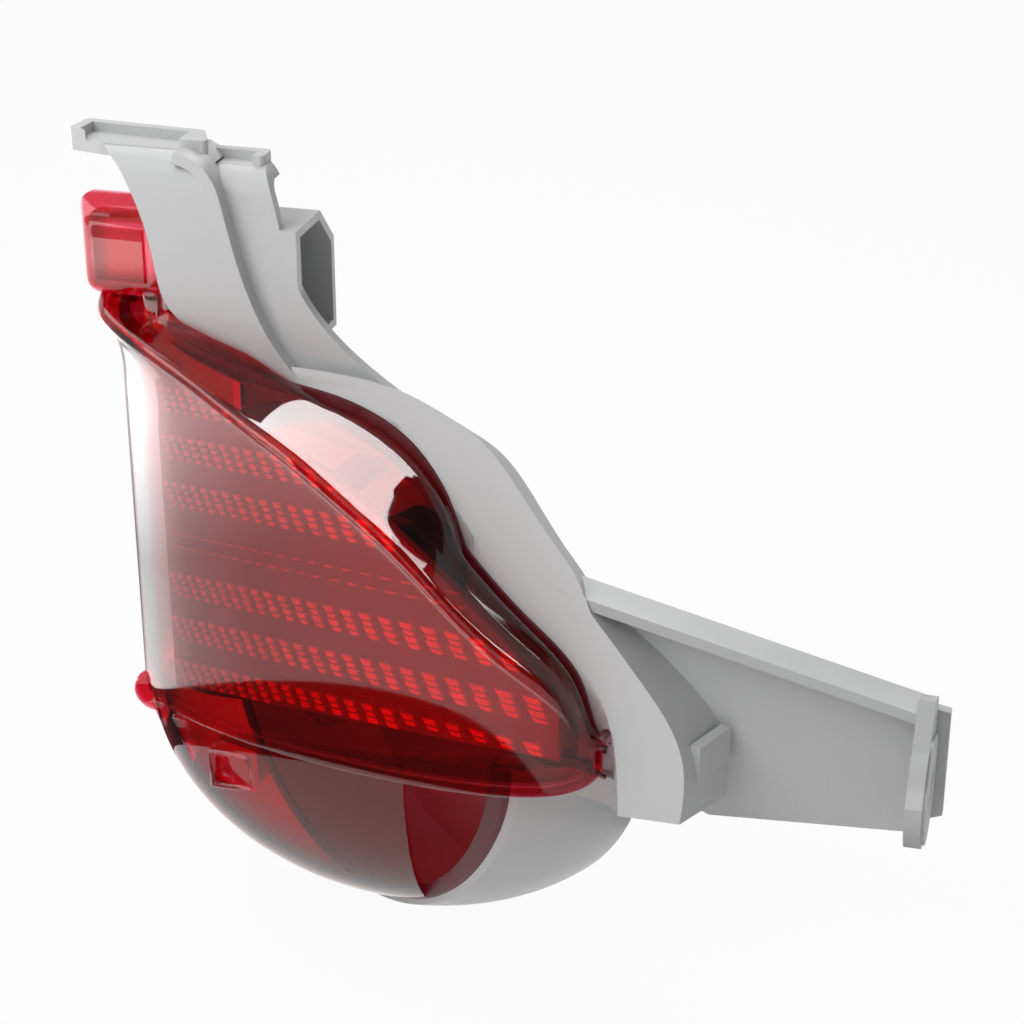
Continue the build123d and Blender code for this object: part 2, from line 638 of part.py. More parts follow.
def make_bulb(along, height, hole_r, glass_r):
    """Bulb as one solid: glass globe on a plain base that stands in the socket's bore."""
    base_r = hole_r - socket_fit - socket_bore_wall
    start = -socket_front - base_proud
    base = cylinder_z(base_r, start, bore_floor)
    neck = cylinder_z(base_r * neck_share, start - glass_r * neck_long, start)
    globe = Pos(0, 0, start - glass_r * globe_rise) * Sphere(glass_r)
    return back_place(along, height) * (base + neck + globe)


def make_socket(along, height, hole_r, stub_size):
    """Twist-lock holder: barrel with the bulb's bore, flange over the seal, and a plug well at the back."""
    barrel_r = hole_r - socket_fit
    flange_top = seal_thick + socket_flange_thick
    wide, tall = stub_size
    barrel = cylinder_z(barrel_r, -socket_front, flange_top)
    bore = cylinder_z(barrel_r - socket_bore_wall, -socket_front - over, bore_floor)
    flange = cylinder_z(hole_r + socket_flange, seal_thick, flange_top)
    stub = fillet(Box(wide, tall, socket_back).edges().filter_by(Axis.Z), well_wall)
    stub = Pos(0, 0, flange_top + socket_back / 2) * stub
    well = Box(wide - 2 * well_wall, tall - 2 * well_wall, well_deep)
    well = Pos(0, 0, flange_top + socket_back - well_deep / 2) * well
    return back_place(along, height) * (barrel + flange + stub - bore - well)


def make_seal(along, height, hole_r):
    ring = cylinder_z(hole_r + socket_flange - seal_inset, 0, seal_thick)
    ring -= cylinder_z(hole_r, -over, seal_thick + over)
    return back_place(along, height) * ring


def make_contacts(along, height, count):
    floor = seal_thick + socket_flange_thick + socket_back - well_deep
    blades = []
    for i in range(count):
        x = (i - (count - 1) / 2) * blade_pitch
        blades.append(back_place(along, height) * Pos(x, 0, floor + blade_long / 2)
                      * Box(blade_thick, blade_wide, blade_long))
    return Compound(children=blades)


def make_vent_cap():
    cap = cylinder_z(vent_r + cap_wall, vent_long - cap_long + cap_wall, vent_long + cap_wall)
    cap -= cylinder_z(vent_r, vent_long - cap_long, vent_long)
    return back_place(vent_along, vent_z) * cap


def make_gasket():
    inner = tail_hole_r + socket_flange + gasket_clear
    ring = cylinder_z(inner + gasket_wide, 0, gasket_thick) - cylinder_z(inner, -over, gasket_thick + over)
    return back_place(tail_along, tail_z) * ring


def make_lens_seal():
    """Hot-melt bead that fills the joint between the lens's rim and the housing's rim."""
    strip = lens_side(upper_joint, -joint_gap / 2) - lens_side(upper_joint, joint_gap / 2)
    wall = lens_block(0, 0) & above_edge(0)
    wall -= lens_block(lens_wall, lens_wall) & above_edge(lens_wall)
    low_strip = lens_side(lower_joint, -joint_gap / 2) - lens_side(lower_joint, joint_gap / 2)
    low_wall = (bowl(0) - bowl(-lens_wall)) & rise(body_plan(0)) - above_edge(-ledge_gap)
    return (wall & strip) + (low_wall & low_strip) - make_tongue(seat_gap)


nodes = {
    "outer_lens": make_lens(),
    "housing": make_housing(),
    "lens_seal": make_lens_seal(),
    "prism_plate": make_prism_plate(),
    "reflector": make_reflector(),
    "reflector_screws": make_screws(),
    "tail_stop_bulb": make_bulb(tail_along, tail_z, tail_hole_r, tail_glass_r),
    "tail_stop_socket": make_socket(tail_along, tail_z, tail_hole_r, tail_stub),
    "tail_stop_seal": make_seal(tail_along, tail_z, tail_hole_r),
    "tail_stop_contacts": make_contacts(tail_along, tail_z, 3),
    "marker_bulb": make_bulb(marker_along, marker_z, marker_hole_r, marker_glass_r),
    "marker_socket": make_socket(marker_along, marker_z, marker_hole_r, marker_stub),
    "marker_seal": make_seal(marker_along, marker_z, marker_hole_r),
    "marker_contacts": make_contacts(marker_along, marker_z, 2),
    "vent_cap": make_vent_cap(),
    "body_gasket": make_gasket(),
}
for name, part in nodes.items():
    print(name, part.is_valid, round(part.volume, 1), len(part.solids()))
    export_step(part, "parts/" + name + ".step")
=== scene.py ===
"""Looks of the wrap-around tail light cluster: clear red lens, prism rows, grey moulded housing."""
from math import cos, radians, sin

import bmesh
import bpy
import numpy as np
from mathutils import Matrix, Vector


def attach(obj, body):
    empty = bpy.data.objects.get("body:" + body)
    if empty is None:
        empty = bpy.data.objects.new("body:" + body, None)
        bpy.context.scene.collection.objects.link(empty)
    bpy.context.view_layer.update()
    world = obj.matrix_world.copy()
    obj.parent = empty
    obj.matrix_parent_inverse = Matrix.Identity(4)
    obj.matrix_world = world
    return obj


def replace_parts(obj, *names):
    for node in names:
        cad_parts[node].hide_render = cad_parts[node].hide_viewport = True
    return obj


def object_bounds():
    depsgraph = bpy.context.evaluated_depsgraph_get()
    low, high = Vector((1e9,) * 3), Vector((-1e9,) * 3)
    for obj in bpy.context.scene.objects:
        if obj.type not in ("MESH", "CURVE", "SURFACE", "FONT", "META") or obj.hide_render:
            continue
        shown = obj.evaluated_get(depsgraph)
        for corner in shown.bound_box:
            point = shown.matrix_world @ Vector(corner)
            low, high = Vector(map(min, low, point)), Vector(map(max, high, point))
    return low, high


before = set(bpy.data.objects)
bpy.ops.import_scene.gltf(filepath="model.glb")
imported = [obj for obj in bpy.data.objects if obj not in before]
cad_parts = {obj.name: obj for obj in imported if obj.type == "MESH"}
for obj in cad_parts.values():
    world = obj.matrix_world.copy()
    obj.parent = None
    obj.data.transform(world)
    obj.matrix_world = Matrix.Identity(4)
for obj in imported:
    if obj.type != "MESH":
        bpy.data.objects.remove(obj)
cad_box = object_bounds()

MM = 0.001
WHITE = (1.0, 1.0, 1.0, 1.0)
PMMA_INDEX = 1.49

# The photo's camera: turn to the side, angle down, place, and lens and sensor in millimetres
VIEW_TURN = radians(15.0)
VIEW_DOWN = radians(25.0)
CAMERA_AT = Vector((25.6, -419.2, 253.2)) * MM
CAMERA_LENS = 84.375
CAMERA_SENSOR = 36.0
CAMERA_NEAR = 10.0 * MM

# The white paper floor: height, half width in metres, shade, and share that shows as plain white
FLOOR_Z = cad_box[0].z - 0.5 * MM
FLOOR_HALF = 3.0
FLOOR_SHADE = (0.9, 0.9, 0.9, 1.0)
FLOOR_WHITE = 0.94

# The lens's outlines in millimetres, close to the part's: plan, joints with the housing, tops and lower edge
LENS_PLAN = [(-65.9, -5.6), (-66.5, -9.6), (-71.0, -15.6), (-80.0, -18.6), (-92.0, -18.9), (-110.0, -16.8),
             (-131.0, -11.9), (-153.0, -3.8), (-167.6, 5.0), (-174.8, 13.0), (-178.4, 24.0), (-179.3, 40.0),
             (-177.0, 54.0), (-170.0, 60.0)]
UPPER_JOINT = [(-65.5, -5.0), (-69.5, -3.1), (-77.3, -1.4), (-85.0, 0.2), (-91.0, 1.6), (-97.0, 3.4),
               (-103.0, 6.6), (-110.0, 9.1), (-118.0, 10.4), (-127.0, 11.4), (-136.0, 12.0), (-146.0, 12.2),
               (-158.0, 12.3), (-164.5, 14.5), (-167.5, 21.0), (-168.5, 38.0), (-168.2, 60.0)]
LOWER_JOINT = [(-50.0, -9.0), (-68.0, -7.0), (-84.0, -6.0), (-98.5, 0.0), (-117.0, 11.0), (-143.0, 27.0),
               (-185.0, 52.0)]
LENS_TOP = [(-60.0, 2.0), (-66.0, 3.5), (-71.0, 15.0), (-84.0, 28.0), (-104.6, 46.5), (-126.8, 61.5),
            (-147.0, 71.5), (-172.0, 80.5), (-184.0, 83.5)]
HUMP_LOW = [(-97.0, 38.6), (-98.6, 40.2), (-101.0, 42.4), (-105.0, 45.9), (-110.5, 50.1), (-118.0, 55.0),
            (-127.0, 60.8), (-138.0, 66.4), (-150.0, 71.9), (-172.0, 79.7), (-184.0, 82.7)]
HUMP_HIGH = [(-97.0, 39.0), (-98.6, 45.0), (-101.0, 50.6), (-105.0, 55.6), (-110.5, 60.4), (-118.0, 64.4),
             (-127.0, 67.2), (-138.0, 69.4), (-150.0, 72.6), (-172.0, 79.9), (-184.0, 82.8)]
HUMP_Y = (-18.0, 12.0)
HUMP_BLEND = 0.6
HUMP_NONE = 20.0
EDGE_FRONT = (-55.0, -3.0)
EDGE_REAR = (-185.0, -8.6)
FOLD_Y = 22.0
REAR_FALL = 0.5
LENS_WALL = 2.4
JOINT_HALF = 0.4
LENS_INSIDE = (-125.0, 15.0, 25.0)

# How finely the lens is drawn: points along each line, smoothing passes, columns, and rows of each zone
LINE_POINTS = 400
JOINT_POINTS = 600
TOP_PASSES = 200
PLAN_PASSES = 40
LEDGE_PASSES = 20
COLUMNS = 230
REAR_COLUMN_X = -157.0
LEDGE_ROWS = 4
FACE_ROWS = 46
ROOF_ROWS = 44
RIM_ROWS = 3
ROUND_ROWS = 5
TOP_ROUND_ROWS = 9

# Rounded edges of the lens, and the most of the roof's width or the wall's height that they take
TOP_ROUND = 3.0
LOW_ROUND = 0.8
RIM_ROUND = 1.4
RIM_DEEP = 4.0
ROUND_SHARE = 0.3
RIM_SHARE = 0.4

# Ledge under the lens's lower edge: past the bowl's rim, least and most, and its plain rear from a place on
LEDGE_PAST = 1.5
LEDGE_LIMITS = (2.6, 14.0)
LEDGE_REAR = 3.0
LEDGE_REAR_Y = 8.0

# The roof's crease, the groove beside the housing and the rise to the rear, with shares of the roof's width
CREASE = (0.44, 0.72)
CREASE_RISE = 0.9
CREASE_SHARE = 0.075
CREASE_FADE = (-112.0, -100.0)
GROOVE_WIDE = 4.6
GROOVE_SHARE = 0.36
GROOVE_DEEP = 1.7
GROOVE_DEEP_SHARE = 0.16
REAR_RISE = 3.2
REAR_RISE_RUN = (-128.0, -146.0)

# Flared lip along the lens's upper rear edge
LIP_OUT = 4.4
LIP_RISE = 17.0
LIP_START_X = -150.0
LIP_RUN = 24.0
LIP_CURVE = 2.4

# Lower bowl of the lens: centre, half sizes, sweep in radians from its rear end, and rows each way
BOWL_CENTRE = (-116.5, 22.0, -7.0)
BOWL_HALF = (59.0, 32.0, 49.0)
BOWL_SWEEP = (0.03, 1.72)
BOWL_COLUMNS = 96
BOWL_ROWS = 60
BOWL_LEAST = 0.02

# Rounding of moulded corners in millimetres: the housing's, and its tray's above a height
HOUSING_ROUND = 0.45
TRAY_ROUND = 0.9
TRAY_LOW = 108.0
CORNER_ANGLE = radians(35)

# The lens's small fittings in millimetres, close to the part's
CLIP_CUT = (-184.0, 22.0, 80.8)
CLIP_CUT_WAY = (0.0, 0.35, 1.0)
CLIP_ROUND = 0.6
POST_AT = (-167.0, 13.6, 80.6)
POST_SIZE = (3.4, 4.0, 10.0)
TAB_AT = (-172.8, 14.0, -9.5)
TAB_R = 5.0
TAB_THICK = 2.6
TAB_SIDES = 40
POST_ROUND = 0.7
TAB_ROUND = 0.7
BRACKETS = [(6.5, [(-171.0, -8.2), (-166.4, -8.4), (-168.4, -15.0)]),
            (1.0, [(-164.0, -8.4), (-155.6, -9.0), (-159.6, -19.5)])]
BRACKET_WALL = 2.2
BRACKET_ROUND = 0.4
BLOCK_AT = (-147.5, -1.5, -15.5)
BLOCK_SIZE = (10.5, 9.0, 9.5)
BLOCK_WALL = 2.0
BLOCK_SOCKET = 3.0
BLOCK_DRAFT = 0.3
BLOCK_ROUND = 0.9

# The prism plate's frame, outline and rows in millimetres, set to the rows that the photo shows
PLATE_FRONT = (-75.0, -7.0)
PLATE_TURN = radians(-10.0)
PLATE_TOP = [(0.0, 11.0), (-6.0, 18.0), (-20.0, 30.5), (-40.0, 46.0), (-62.0, 58.5), (-92.0, 70.0)]
PLATE_LOW = [(0.0, -1.0), (-92.0, -4.6)]
PLATE_THICK = 2.0
PLATE_POINTS = 40
ROW_MIDDLE = -0.8
ROW_PITCH = 10.75
ROW_COUNT = 7
PLAIN_ROW = 3
ROW_START = -1.5
ROW_END_MARGIN = 3.0
BAR_MARGINS = (0.2, 0.3, 0.5)
BAR_PROUD = 0.1

# Bars of a prism cell and of the plain row: height in the row, tall, shift and width as shares of the pitch
CELL_BARS = [(2.2, 1.35, 0.0, 0.62), (0.75, 0.95, 0.02, 0.54),
             (-0.75, 1.35, 0.0, 0.62), (-2.2, 0.95, 0.02, 0.54)]
PLAIN_BARS = [(1.4, 0.28, 0.0, 0.5), (-1.6, 0.28, 0.0, 0.5)]
CELL_FRONT = 6.6
CELL_REAR = 1.9
CELL_LEAN = 0.4
# Painted glow of the prisms: the X run over which it fades to the rear and its share there, its share on the
# side faces, the facing over which it turns full, and the range of its painted glints
GLOW_RUN = (-165.0, -115.0)
GLOW_REAR_SHARE = 0.12
GLOW_SIDE_SHARE = 0.12
GLOW_FACING = (0.86, 0.94)
GLOW_SPARK = (0.7, 1.2)

# Form of a bar: depth, taper of its outer end, sideways lean, flare to its ends, tilt and turn
BAR_SHAPE = {"Depth": 1.0 * MM, "Taper": 0.58, "Lean": -0.25, "Flare": 0.2, "Tilt": radians(-10),
             "Turn": PLATE_TURN}

# Studio lamps: name, power in watts, size and place in metres, and the spot that they face
LAMPS = [("key_softbox", 2.2, (0.4, 0.4), (-0.40, -0.36, 0.51)),
         ("top_softbox", 1.7, (0.5, 0.4), (-0.40, 0.20, 0.55))]
LAMP_AIM = Vector((-0.1, 0.0, 0.03))
WORLD_LIGHT = 0.35

# Floor cards that only mirrored rays meet: a lit disc, a lit ring and dark felt between, with the lit ring's
# peak level and shares of it by direction in degrees
CARD_CENTRE = (-0.13, 0.0)
CARD_LIFT = 0.2 * MM
CARD_RINGS = ((0.001, 0.085), (0.135, 0.9), (0.085, 0.135))
CARD_STEP = 4
CARD_PEAK = 7.0
CARD_LEVELS = [(180, 0.36), (192, 0.27), (202, 0.24), (212, 0.20), (236, 0.20), (280, 0.20), (340, 0.10),
               (40, 0.08), (95, 0.03), (138, 0.05), (150, 0.30), (165, 0.50)]
CARD_FAR = (0.22, 0.40)
CARD_FAR_GAIN = 3.4
DISC_LEVEL = 1.2
FELT_LEVEL = 0.06

# Upright cards and dark flags: name, place and size in metres, level, and the spot that they face
UPRIGHT_CARDS = [("roof_card", (0.105, 0.554, 0.719), (0.60, 0.36), 12.0),
                 ("strip_card", (0.35, 0.614, 0.50), (0.16, 0.20), 7.0),
                 ("front_card", (-0.40, -1.30, 0.32), (1.4, 0.50), 4.0),
                 ("back_flag", (0.389, 1.113, 0.911), (3.0, 2.2), 0.08),
                 ("front_flag", (-0.20, -1.60, 1.20), (3.0, 1.8), 0.08)]
LIT_SPOT = Vector((-0.13, 0.0, 0.05))


def colour(hex_code):
    """Linear RGBA of an sRGB hex value."""
    parts = [int(hex_code[i:i + 2], 16) / 255 for i in (1, 3, 5)]
    linear = [c / 12.92 if c <= 0.04045 else ((c + 0.055) / 1.055) ** 2.4 for c in parts]
    return (*linear, 1.0)


def add(tree, kind, settings=None, values=None, links=None):
    """One node with its settings, input values and incoming links."""
    node = tree.nodes.new(kind)
    for name, value in (settings or {}).items():
        setattr(node, name, value)
    for name, value in (values or {}).items():
        node.inputs[name].default_value = value
    for name, source in (links or {}).items():
        tree.links.new(source, node.inputs[name])
    return node


def new_material(name):
    """Empty node material with its tree and output."""
    material = bpy.data.materials.new(name)
    material.use_nodes = True
    tree = material.node_tree
    tree.nodes.clear()
    return material, tree, add(tree, "ShaderNodeOutputMaterial")


def red_lens_pmma():
    """Clear red PMMA: colour deepens with the way through the wall, polished skin with a little haze."""
    material, tree, out = new_material("red_PMMA_lens")
    where = add(tree, "ShaderNodeTexCoord")
    haze = add(tree, "ShaderNodeTexNoise", values={"Scale": 1 / (16.7 * MM), "Detail": 3.0},
               links={"Vector": where.outputs["Object"]})
    rough = add(tree, "ShaderNodeMapRange",
                values={"From Min": 0.35, "From Max": 0.75, "To Min": 0.02, "To Max": 0.06},
                links={"Value": haze.outputs["Fac"]})
    side = add(tree, "ShaderNodeNewGeometry")
    index = add(tree, "ShaderNodeMapRange", values={"To Min": PMMA_INDEX, "To Max": 1 / PMMA_INDEX},
                links={"Value": side.outputs["Backfacing"]})
    mirror = add(tree, "ShaderNodeFresnel", links={"IOR": index.outputs["Result"]})
    clear = add(tree, "ShaderNodeBsdfTransparent", values={"Color": WHITE})
    shine = add(tree, "ShaderNodeBsdfGlossy", values={"Color": WHITE},
                links={"Roughness": rough.outputs["Result"]})
    skin = add(tree, "ShaderNodeMixShader",
               links={"Fac": mirror.outputs["Fac"], 1: clear.outputs["BSDF"], 2: shine.outputs["BSDF"]})
    body = add(tree, "ShaderNodeVolumeAbsorption", values={"Color": (0.90, 0.0, 0.25, 1), "Density": 1700.0})
    tree.links.new(skin.outputs["Shader"], out.inputs["Surface"])
    tree.links.new(body.outputs["Volume"], out.inputs["Volume"])
    return material


def prism_pmma(name, hex_low, hex_high, glow):
    """Red PMMA for the prisms and their plate, with a painted glow: emission that stands for light the facets
    gather and throw back outward.
    """
    material, tree, out = new_material(name)
    where = add(tree, "ShaderNodeTexCoord")
    cloud = add(tree, "ShaderNodeTexNoise", values={"Scale": 1 / (3 * MM), "Detail": 2.0},
                links={"Vector": where.outputs["Object"]})
    tint = add(tree, "ShaderNodeMixRGB", values={"Color1": colour(hex_low), "Color2": colour(hex_high)},
               links={"Fac": cloud.outputs["Fac"]})
    parts = add(tree, "ShaderNodeSeparateXYZ", links={"Vector": where.outputs["Object"]})
    # Painted light: the glow fades towards the rear of the plate
    fade = add(tree, "ShaderNodeMapRange",
               values={"From Min": GLOW_RUN[0] * MM, "From Max": GLOW_RUN[1] * MM,
                       "To Min": GLOW_REAR_SHARE * glow, "To Max": glow},
               links={"Value": parts.outputs["X"]})
    # Painted glints: the glow rises and falls with the noise
    spark = add(tree, "ShaderNodeMapRange",
                values={"From Min": 0.3, "From Max": 0.7, "To Min": GLOW_SPARK[0], "To Max": GLOW_SPARK[1]},
                links={"Value": cloud.outputs["Fac"]})
    shape = add(tree, "ShaderNodeNewGeometry")
    facing = add(tree, "ShaderNodeVectorMath", {"operation": "DOT_PRODUCT"},
                 {1: (sin(PLATE_TURN), -cos(PLATE_TURN), 0)}, {0: shape.outputs["True Normal"]})
    # Painted light: faces turned outward glow in full, the side faces at a small share
    front = add(tree, "ShaderNodeMapRange",
                values={"From Min": GLOW_FACING[0], "From Max": GLOW_FACING[1], "To Min": GLOW_SIDE_SHARE},
                links={"Value": facing.outputs["Value"]})
    light = add(tree, "ShaderNodeMath", {"operation": "MULTIPLY"},
                links={0: fade.outputs["Result"], 1: spark.outputs["Result"]})
    light = add(tree, "ShaderNodeMath", {"operation": "MULTIPLY"},
                links={0: light.outputs["Value"], 1: front.outputs["Result"]})
    shader = add(tree, "ShaderNodeBsdfPrincipled", values={"Roughness": 0.25, "IOR": PMMA_INDEX},
                 links={"Base Color": tint.outputs["Color"], "Emission Color": tint.outputs["Color"],
                        "Emission Strength": light.outputs["Value"]})
    tree.links.new(shader.outputs["BSDF"], out.inputs["Surface"])
    return material


def grey_pc_abs():
    """Light grey PC/ABS from a fine-sparked tool: soft gloss, faint clouds and a few pale scuffs.

    The grain is drawn coarser than the real 0.1 mm one, so that it shows."""
    material, tree, out = new_material("grey_PC_ABS_housing")
    where = add(tree, "ShaderNodeTexCoord")
    cloud = add(tree, "ShaderNodeTexNoise", values={"Scale": 1 / (40 * MM), "Detail": 3.0},
                links={"Vector": where.outputs["Object"]})
    tint = add(tree, "ShaderNodeMixRGB", values={"Color1": colour("#B4B5B6"), "Color2": colour("#C2C2C2")},
               links={"Fac": cloud.outputs["Fac"]})
    streak = add(tree, "ShaderNodeMapping", values={"Rotation": (0.3, 0.5, 0.2), "Scale": (1.0, 1.0, 0.06)},
                 links={"Vector": where.outputs["Object"]})
    scratch = add(tree, "ShaderNodeTexNoise", values={"Scale": 1 / (0.5 * MM), "Detail": 1.0},
                  links={"Vector": streak.outputs["Vector"]})
    thin = add(tree, "ShaderNodeMapRange", values={"From Min": 0.69, "From Max": 0.76},
               links={"Value": scratch.outputs["Fac"]})
    patch = add(tree, "ShaderNodeTexNoise", values={"Scale": 1 / (22 * MM), "Detail": 1.0},
                links={"Vector": where.outputs["Object"]})
    some = add(tree, "ShaderNodeMapRange", values={"From Min": 0.52, "From Max": 0.64, "To Max": 0.16},
               links={"Value": patch.outputs["Fac"]})
    scuff = add(tree, "ShaderNodeMath", {"operation": "MULTIPLY"},
                links={0: thin.outputs["Result"], 1: some.outputs["Result"]})
    worn = add(tree, "ShaderNodeMixRGB", values={"Color2": colour("#D6D6D6")},
               links={"Fac": scuff.outputs["Value"], "Color1": tint.outputs["Color"]})
    rough = add(tree, "ShaderNodeMapRange",
                values={"From Min": 0.3, "From Max": 0.7, "To Min": 0.34, "To Max": 0.46},
                links={"Value": cloud.outputs["Fac"]})
    grain = add(tree, "ShaderNodeTexNoise", values={"Scale": 1 / (0.7 * MM), "Detail": 2.0},
                links={"Vector": where.outputs["Object"]})
    relief = add(tree, "ShaderNodeBump", values={"Strength": 0.12, "Distance": 0.05 * MM},
                 links={"Height": grain.outputs["Fac"]})
    shader = add(tree, "ShaderNodeBsdfPrincipled", values={"IOR": 1.57},
                 links={"Base Color": worn.outputs["Color"], "Roughness": rough.outputs["Result"],
                        "Normal": relief.outputs["Normal"]})
    tree.links.new(shader.outputs["BSDF"], out.inputs["Surface"])
    return material


def made_surface(name, hex_low, hex_high, patch, rough, grain, relief, stretch=(1.0, 1.0, 1.0), **fixed):
    """Material in two close tones, with patches and grain in millimetres, a roughness range and a relief."""
    material, tree, out = new_material(name)
    where = add(tree, "ShaderNodeTexCoord")
    drawn = add(tree, "ShaderNodeMapping", values={"Scale": stretch},
                links={"Vector": where.outputs["Object"]})
    cloud = add(tree, "ShaderNodeTexNoise", values={"Scale": 1 / (patch * MM), "Detail": 3.0},
                links={"Vector": drawn.outputs["Vector"]})
    tint = add(tree, "ShaderNodeMixRGB", values={"Color1": colour(hex_low), "Color2": colour(hex_high)},
               links={"Fac": cloud.outputs["Fac"]})
    dull = add(tree, "ShaderNodeMapRange",
               values={"From Min": 0.3, "From Max": 0.7, "To Min": rough[0], "To Max": rough[1]},
               links={"Value": cloud.outputs["Fac"]})
    fine = add(tree, "ShaderNodeTexNoise", values={"Scale": 1 / (grain * MM), "Detail": 2.0},
               links={"Vector": drawn.outputs["Vector"]})
    bump = add(tree, "ShaderNodeBump", values={"Strength": relief, "Distance": 0.1 * MM},
               links={"Height": fine.outputs["Fac"]})
    values = {key.replace("_", " ").title(): value for key, value in fixed.items()}
    shader = add(tree, "ShaderNodeBsdfPrincipled", values=values,
                 links={"Base Color": tint.outputs["Color"], "Roughness": dull.outputs["Result"],
                        "Normal": bump.outputs["Normal"]})
    tree.links.new(shader.outputs["BSDF"], out.inputs["Surface"])
    return material


def spread(line, count):
    """Line of points set out again at even steps."""
    way = np.r_[0, np.cumsum(np.linalg.norm(np.diff(line, axis=0), axis=1))]
    steps = np.linspace(0, way[-1], count)
    return np.stack([np.interp(steps, way, line[:, i]) for i in range(line.shape[1])], axis=1)


def spline(points, count):
    """Even points along a natural cubic through the given points."""
    knots = np.array(points, float)
    size = len(knots)
    at = np.r_[0, np.cumsum(np.linalg.norm(np.diff(knots, axis=0), axis=1))]
    gap = np.diff(at)
    matrix = np.eye(size)
    right = np.zeros(knots.shape)
    for i in range(1, size - 1):
        matrix[i, i - 1:i + 2] = gap[i - 1], 2 * (gap[i - 1] + gap[i]), gap[i]
        right[i] = 6 * ((knots[i + 1] - knots[i]) / gap[i] - (knots[i] - knots[i - 1]) / gap[i - 1])
    bend = np.linalg.solve(matrix, right)
    fine = np.linspace(0, at[-1], 40 * size)
    k = np.clip(np.searchsorted(at, fine) - 1, 0, size - 2)
    width = gap[k][:, None]
    after = (fine - at[k])[:, None]
    before = width - after
    line = (bend[k] * before ** 3 + bend[k + 1] * after ** 3) / (6 * width)
    line += (knots[k] / width - bend[k] * width / 6) * before
    line += (knots[k + 1] / width - bend[k + 1] * width / 6) * after
    return spread(line, count)


def ease(line, passes):
    """Line with small waves evened out, its ends kept."""
    line = line.copy()
    for _ in range(passes):
        line[1:-1] = (line[:-2] + 2 * line[1:-1] + line[2:]) / 4
    return line


def along(line, x):
    """Second coordinate of a line that runs to the rear, at x."""
    return np.interp(-x, -line[:, 0], line[:, 1])


def arc(start, corner, end, count):
    """Rounded corner from start to end, as count rows of points."""
    steps = np.linspace(0, 1, count)[:, None, None]
    return (1 - steps) ** 2 * start + 2 * steps * (1 - steps) * corner + steps ** 2 * end


def rows_between(start, end, count):
    """Rows of points from start to end, without either."""
    steps = np.linspace(0, 1, count + 2)[1:-1, None, None]
    return start + (end - start) * steps


def lens_roof(x, y):
    """Height of the lens's roof: level up to the fold, then falling inboard, with a hump by the housing."""
    top = along(ease(spline(LENS_TOP, LINE_POINTS), TOP_PASSES), x)
    share = np.clip((y - HUMP_Y[0]) / (HUMP_Y[1] - HUMP_Y[0]), 0, 1)
    low = along(spline(HUMP_LOW, LINE_POINTS), x)
    hump = low + (along(spline(HUMP_HIGH, LINE_POINTS), x) - low) * share
    hump = np.where(x < HUMP_LOW[0][0], hump, top - HUMP_NONE)
    fall = REAR_FALL * np.maximum(y - FOLD_Y, 0)
    return (top + hump + np.sqrt((top - hump) ** 2 + HUMP_BLEND)) / 2 - fall


def edge_height(x):
    """Height of the lens's lower edge."""
    share = (x - EDGE_FRONT[0]) / (EDGE_REAR[0] - EDGE_FRONT[0])
    return EDGE_FRONT[1] + (EDGE_REAR[1] - EDGE_FRONT[1]) * share


def bowl_side(x):
    """Outer Y of the lower bowl's rim."""
    left = np.maximum(1 - ((x - BOWL_CENTRE[0]) / BOWL_HALF[0]) ** 2, 0)
    return BOWL_CENTRE[1] - BOWL_HALF[1] * np.sqrt(left)


def place(plan, height):
    """Points from plan places and heights."""
    return np.concatenate([plan, height[:, None]], axis=1)


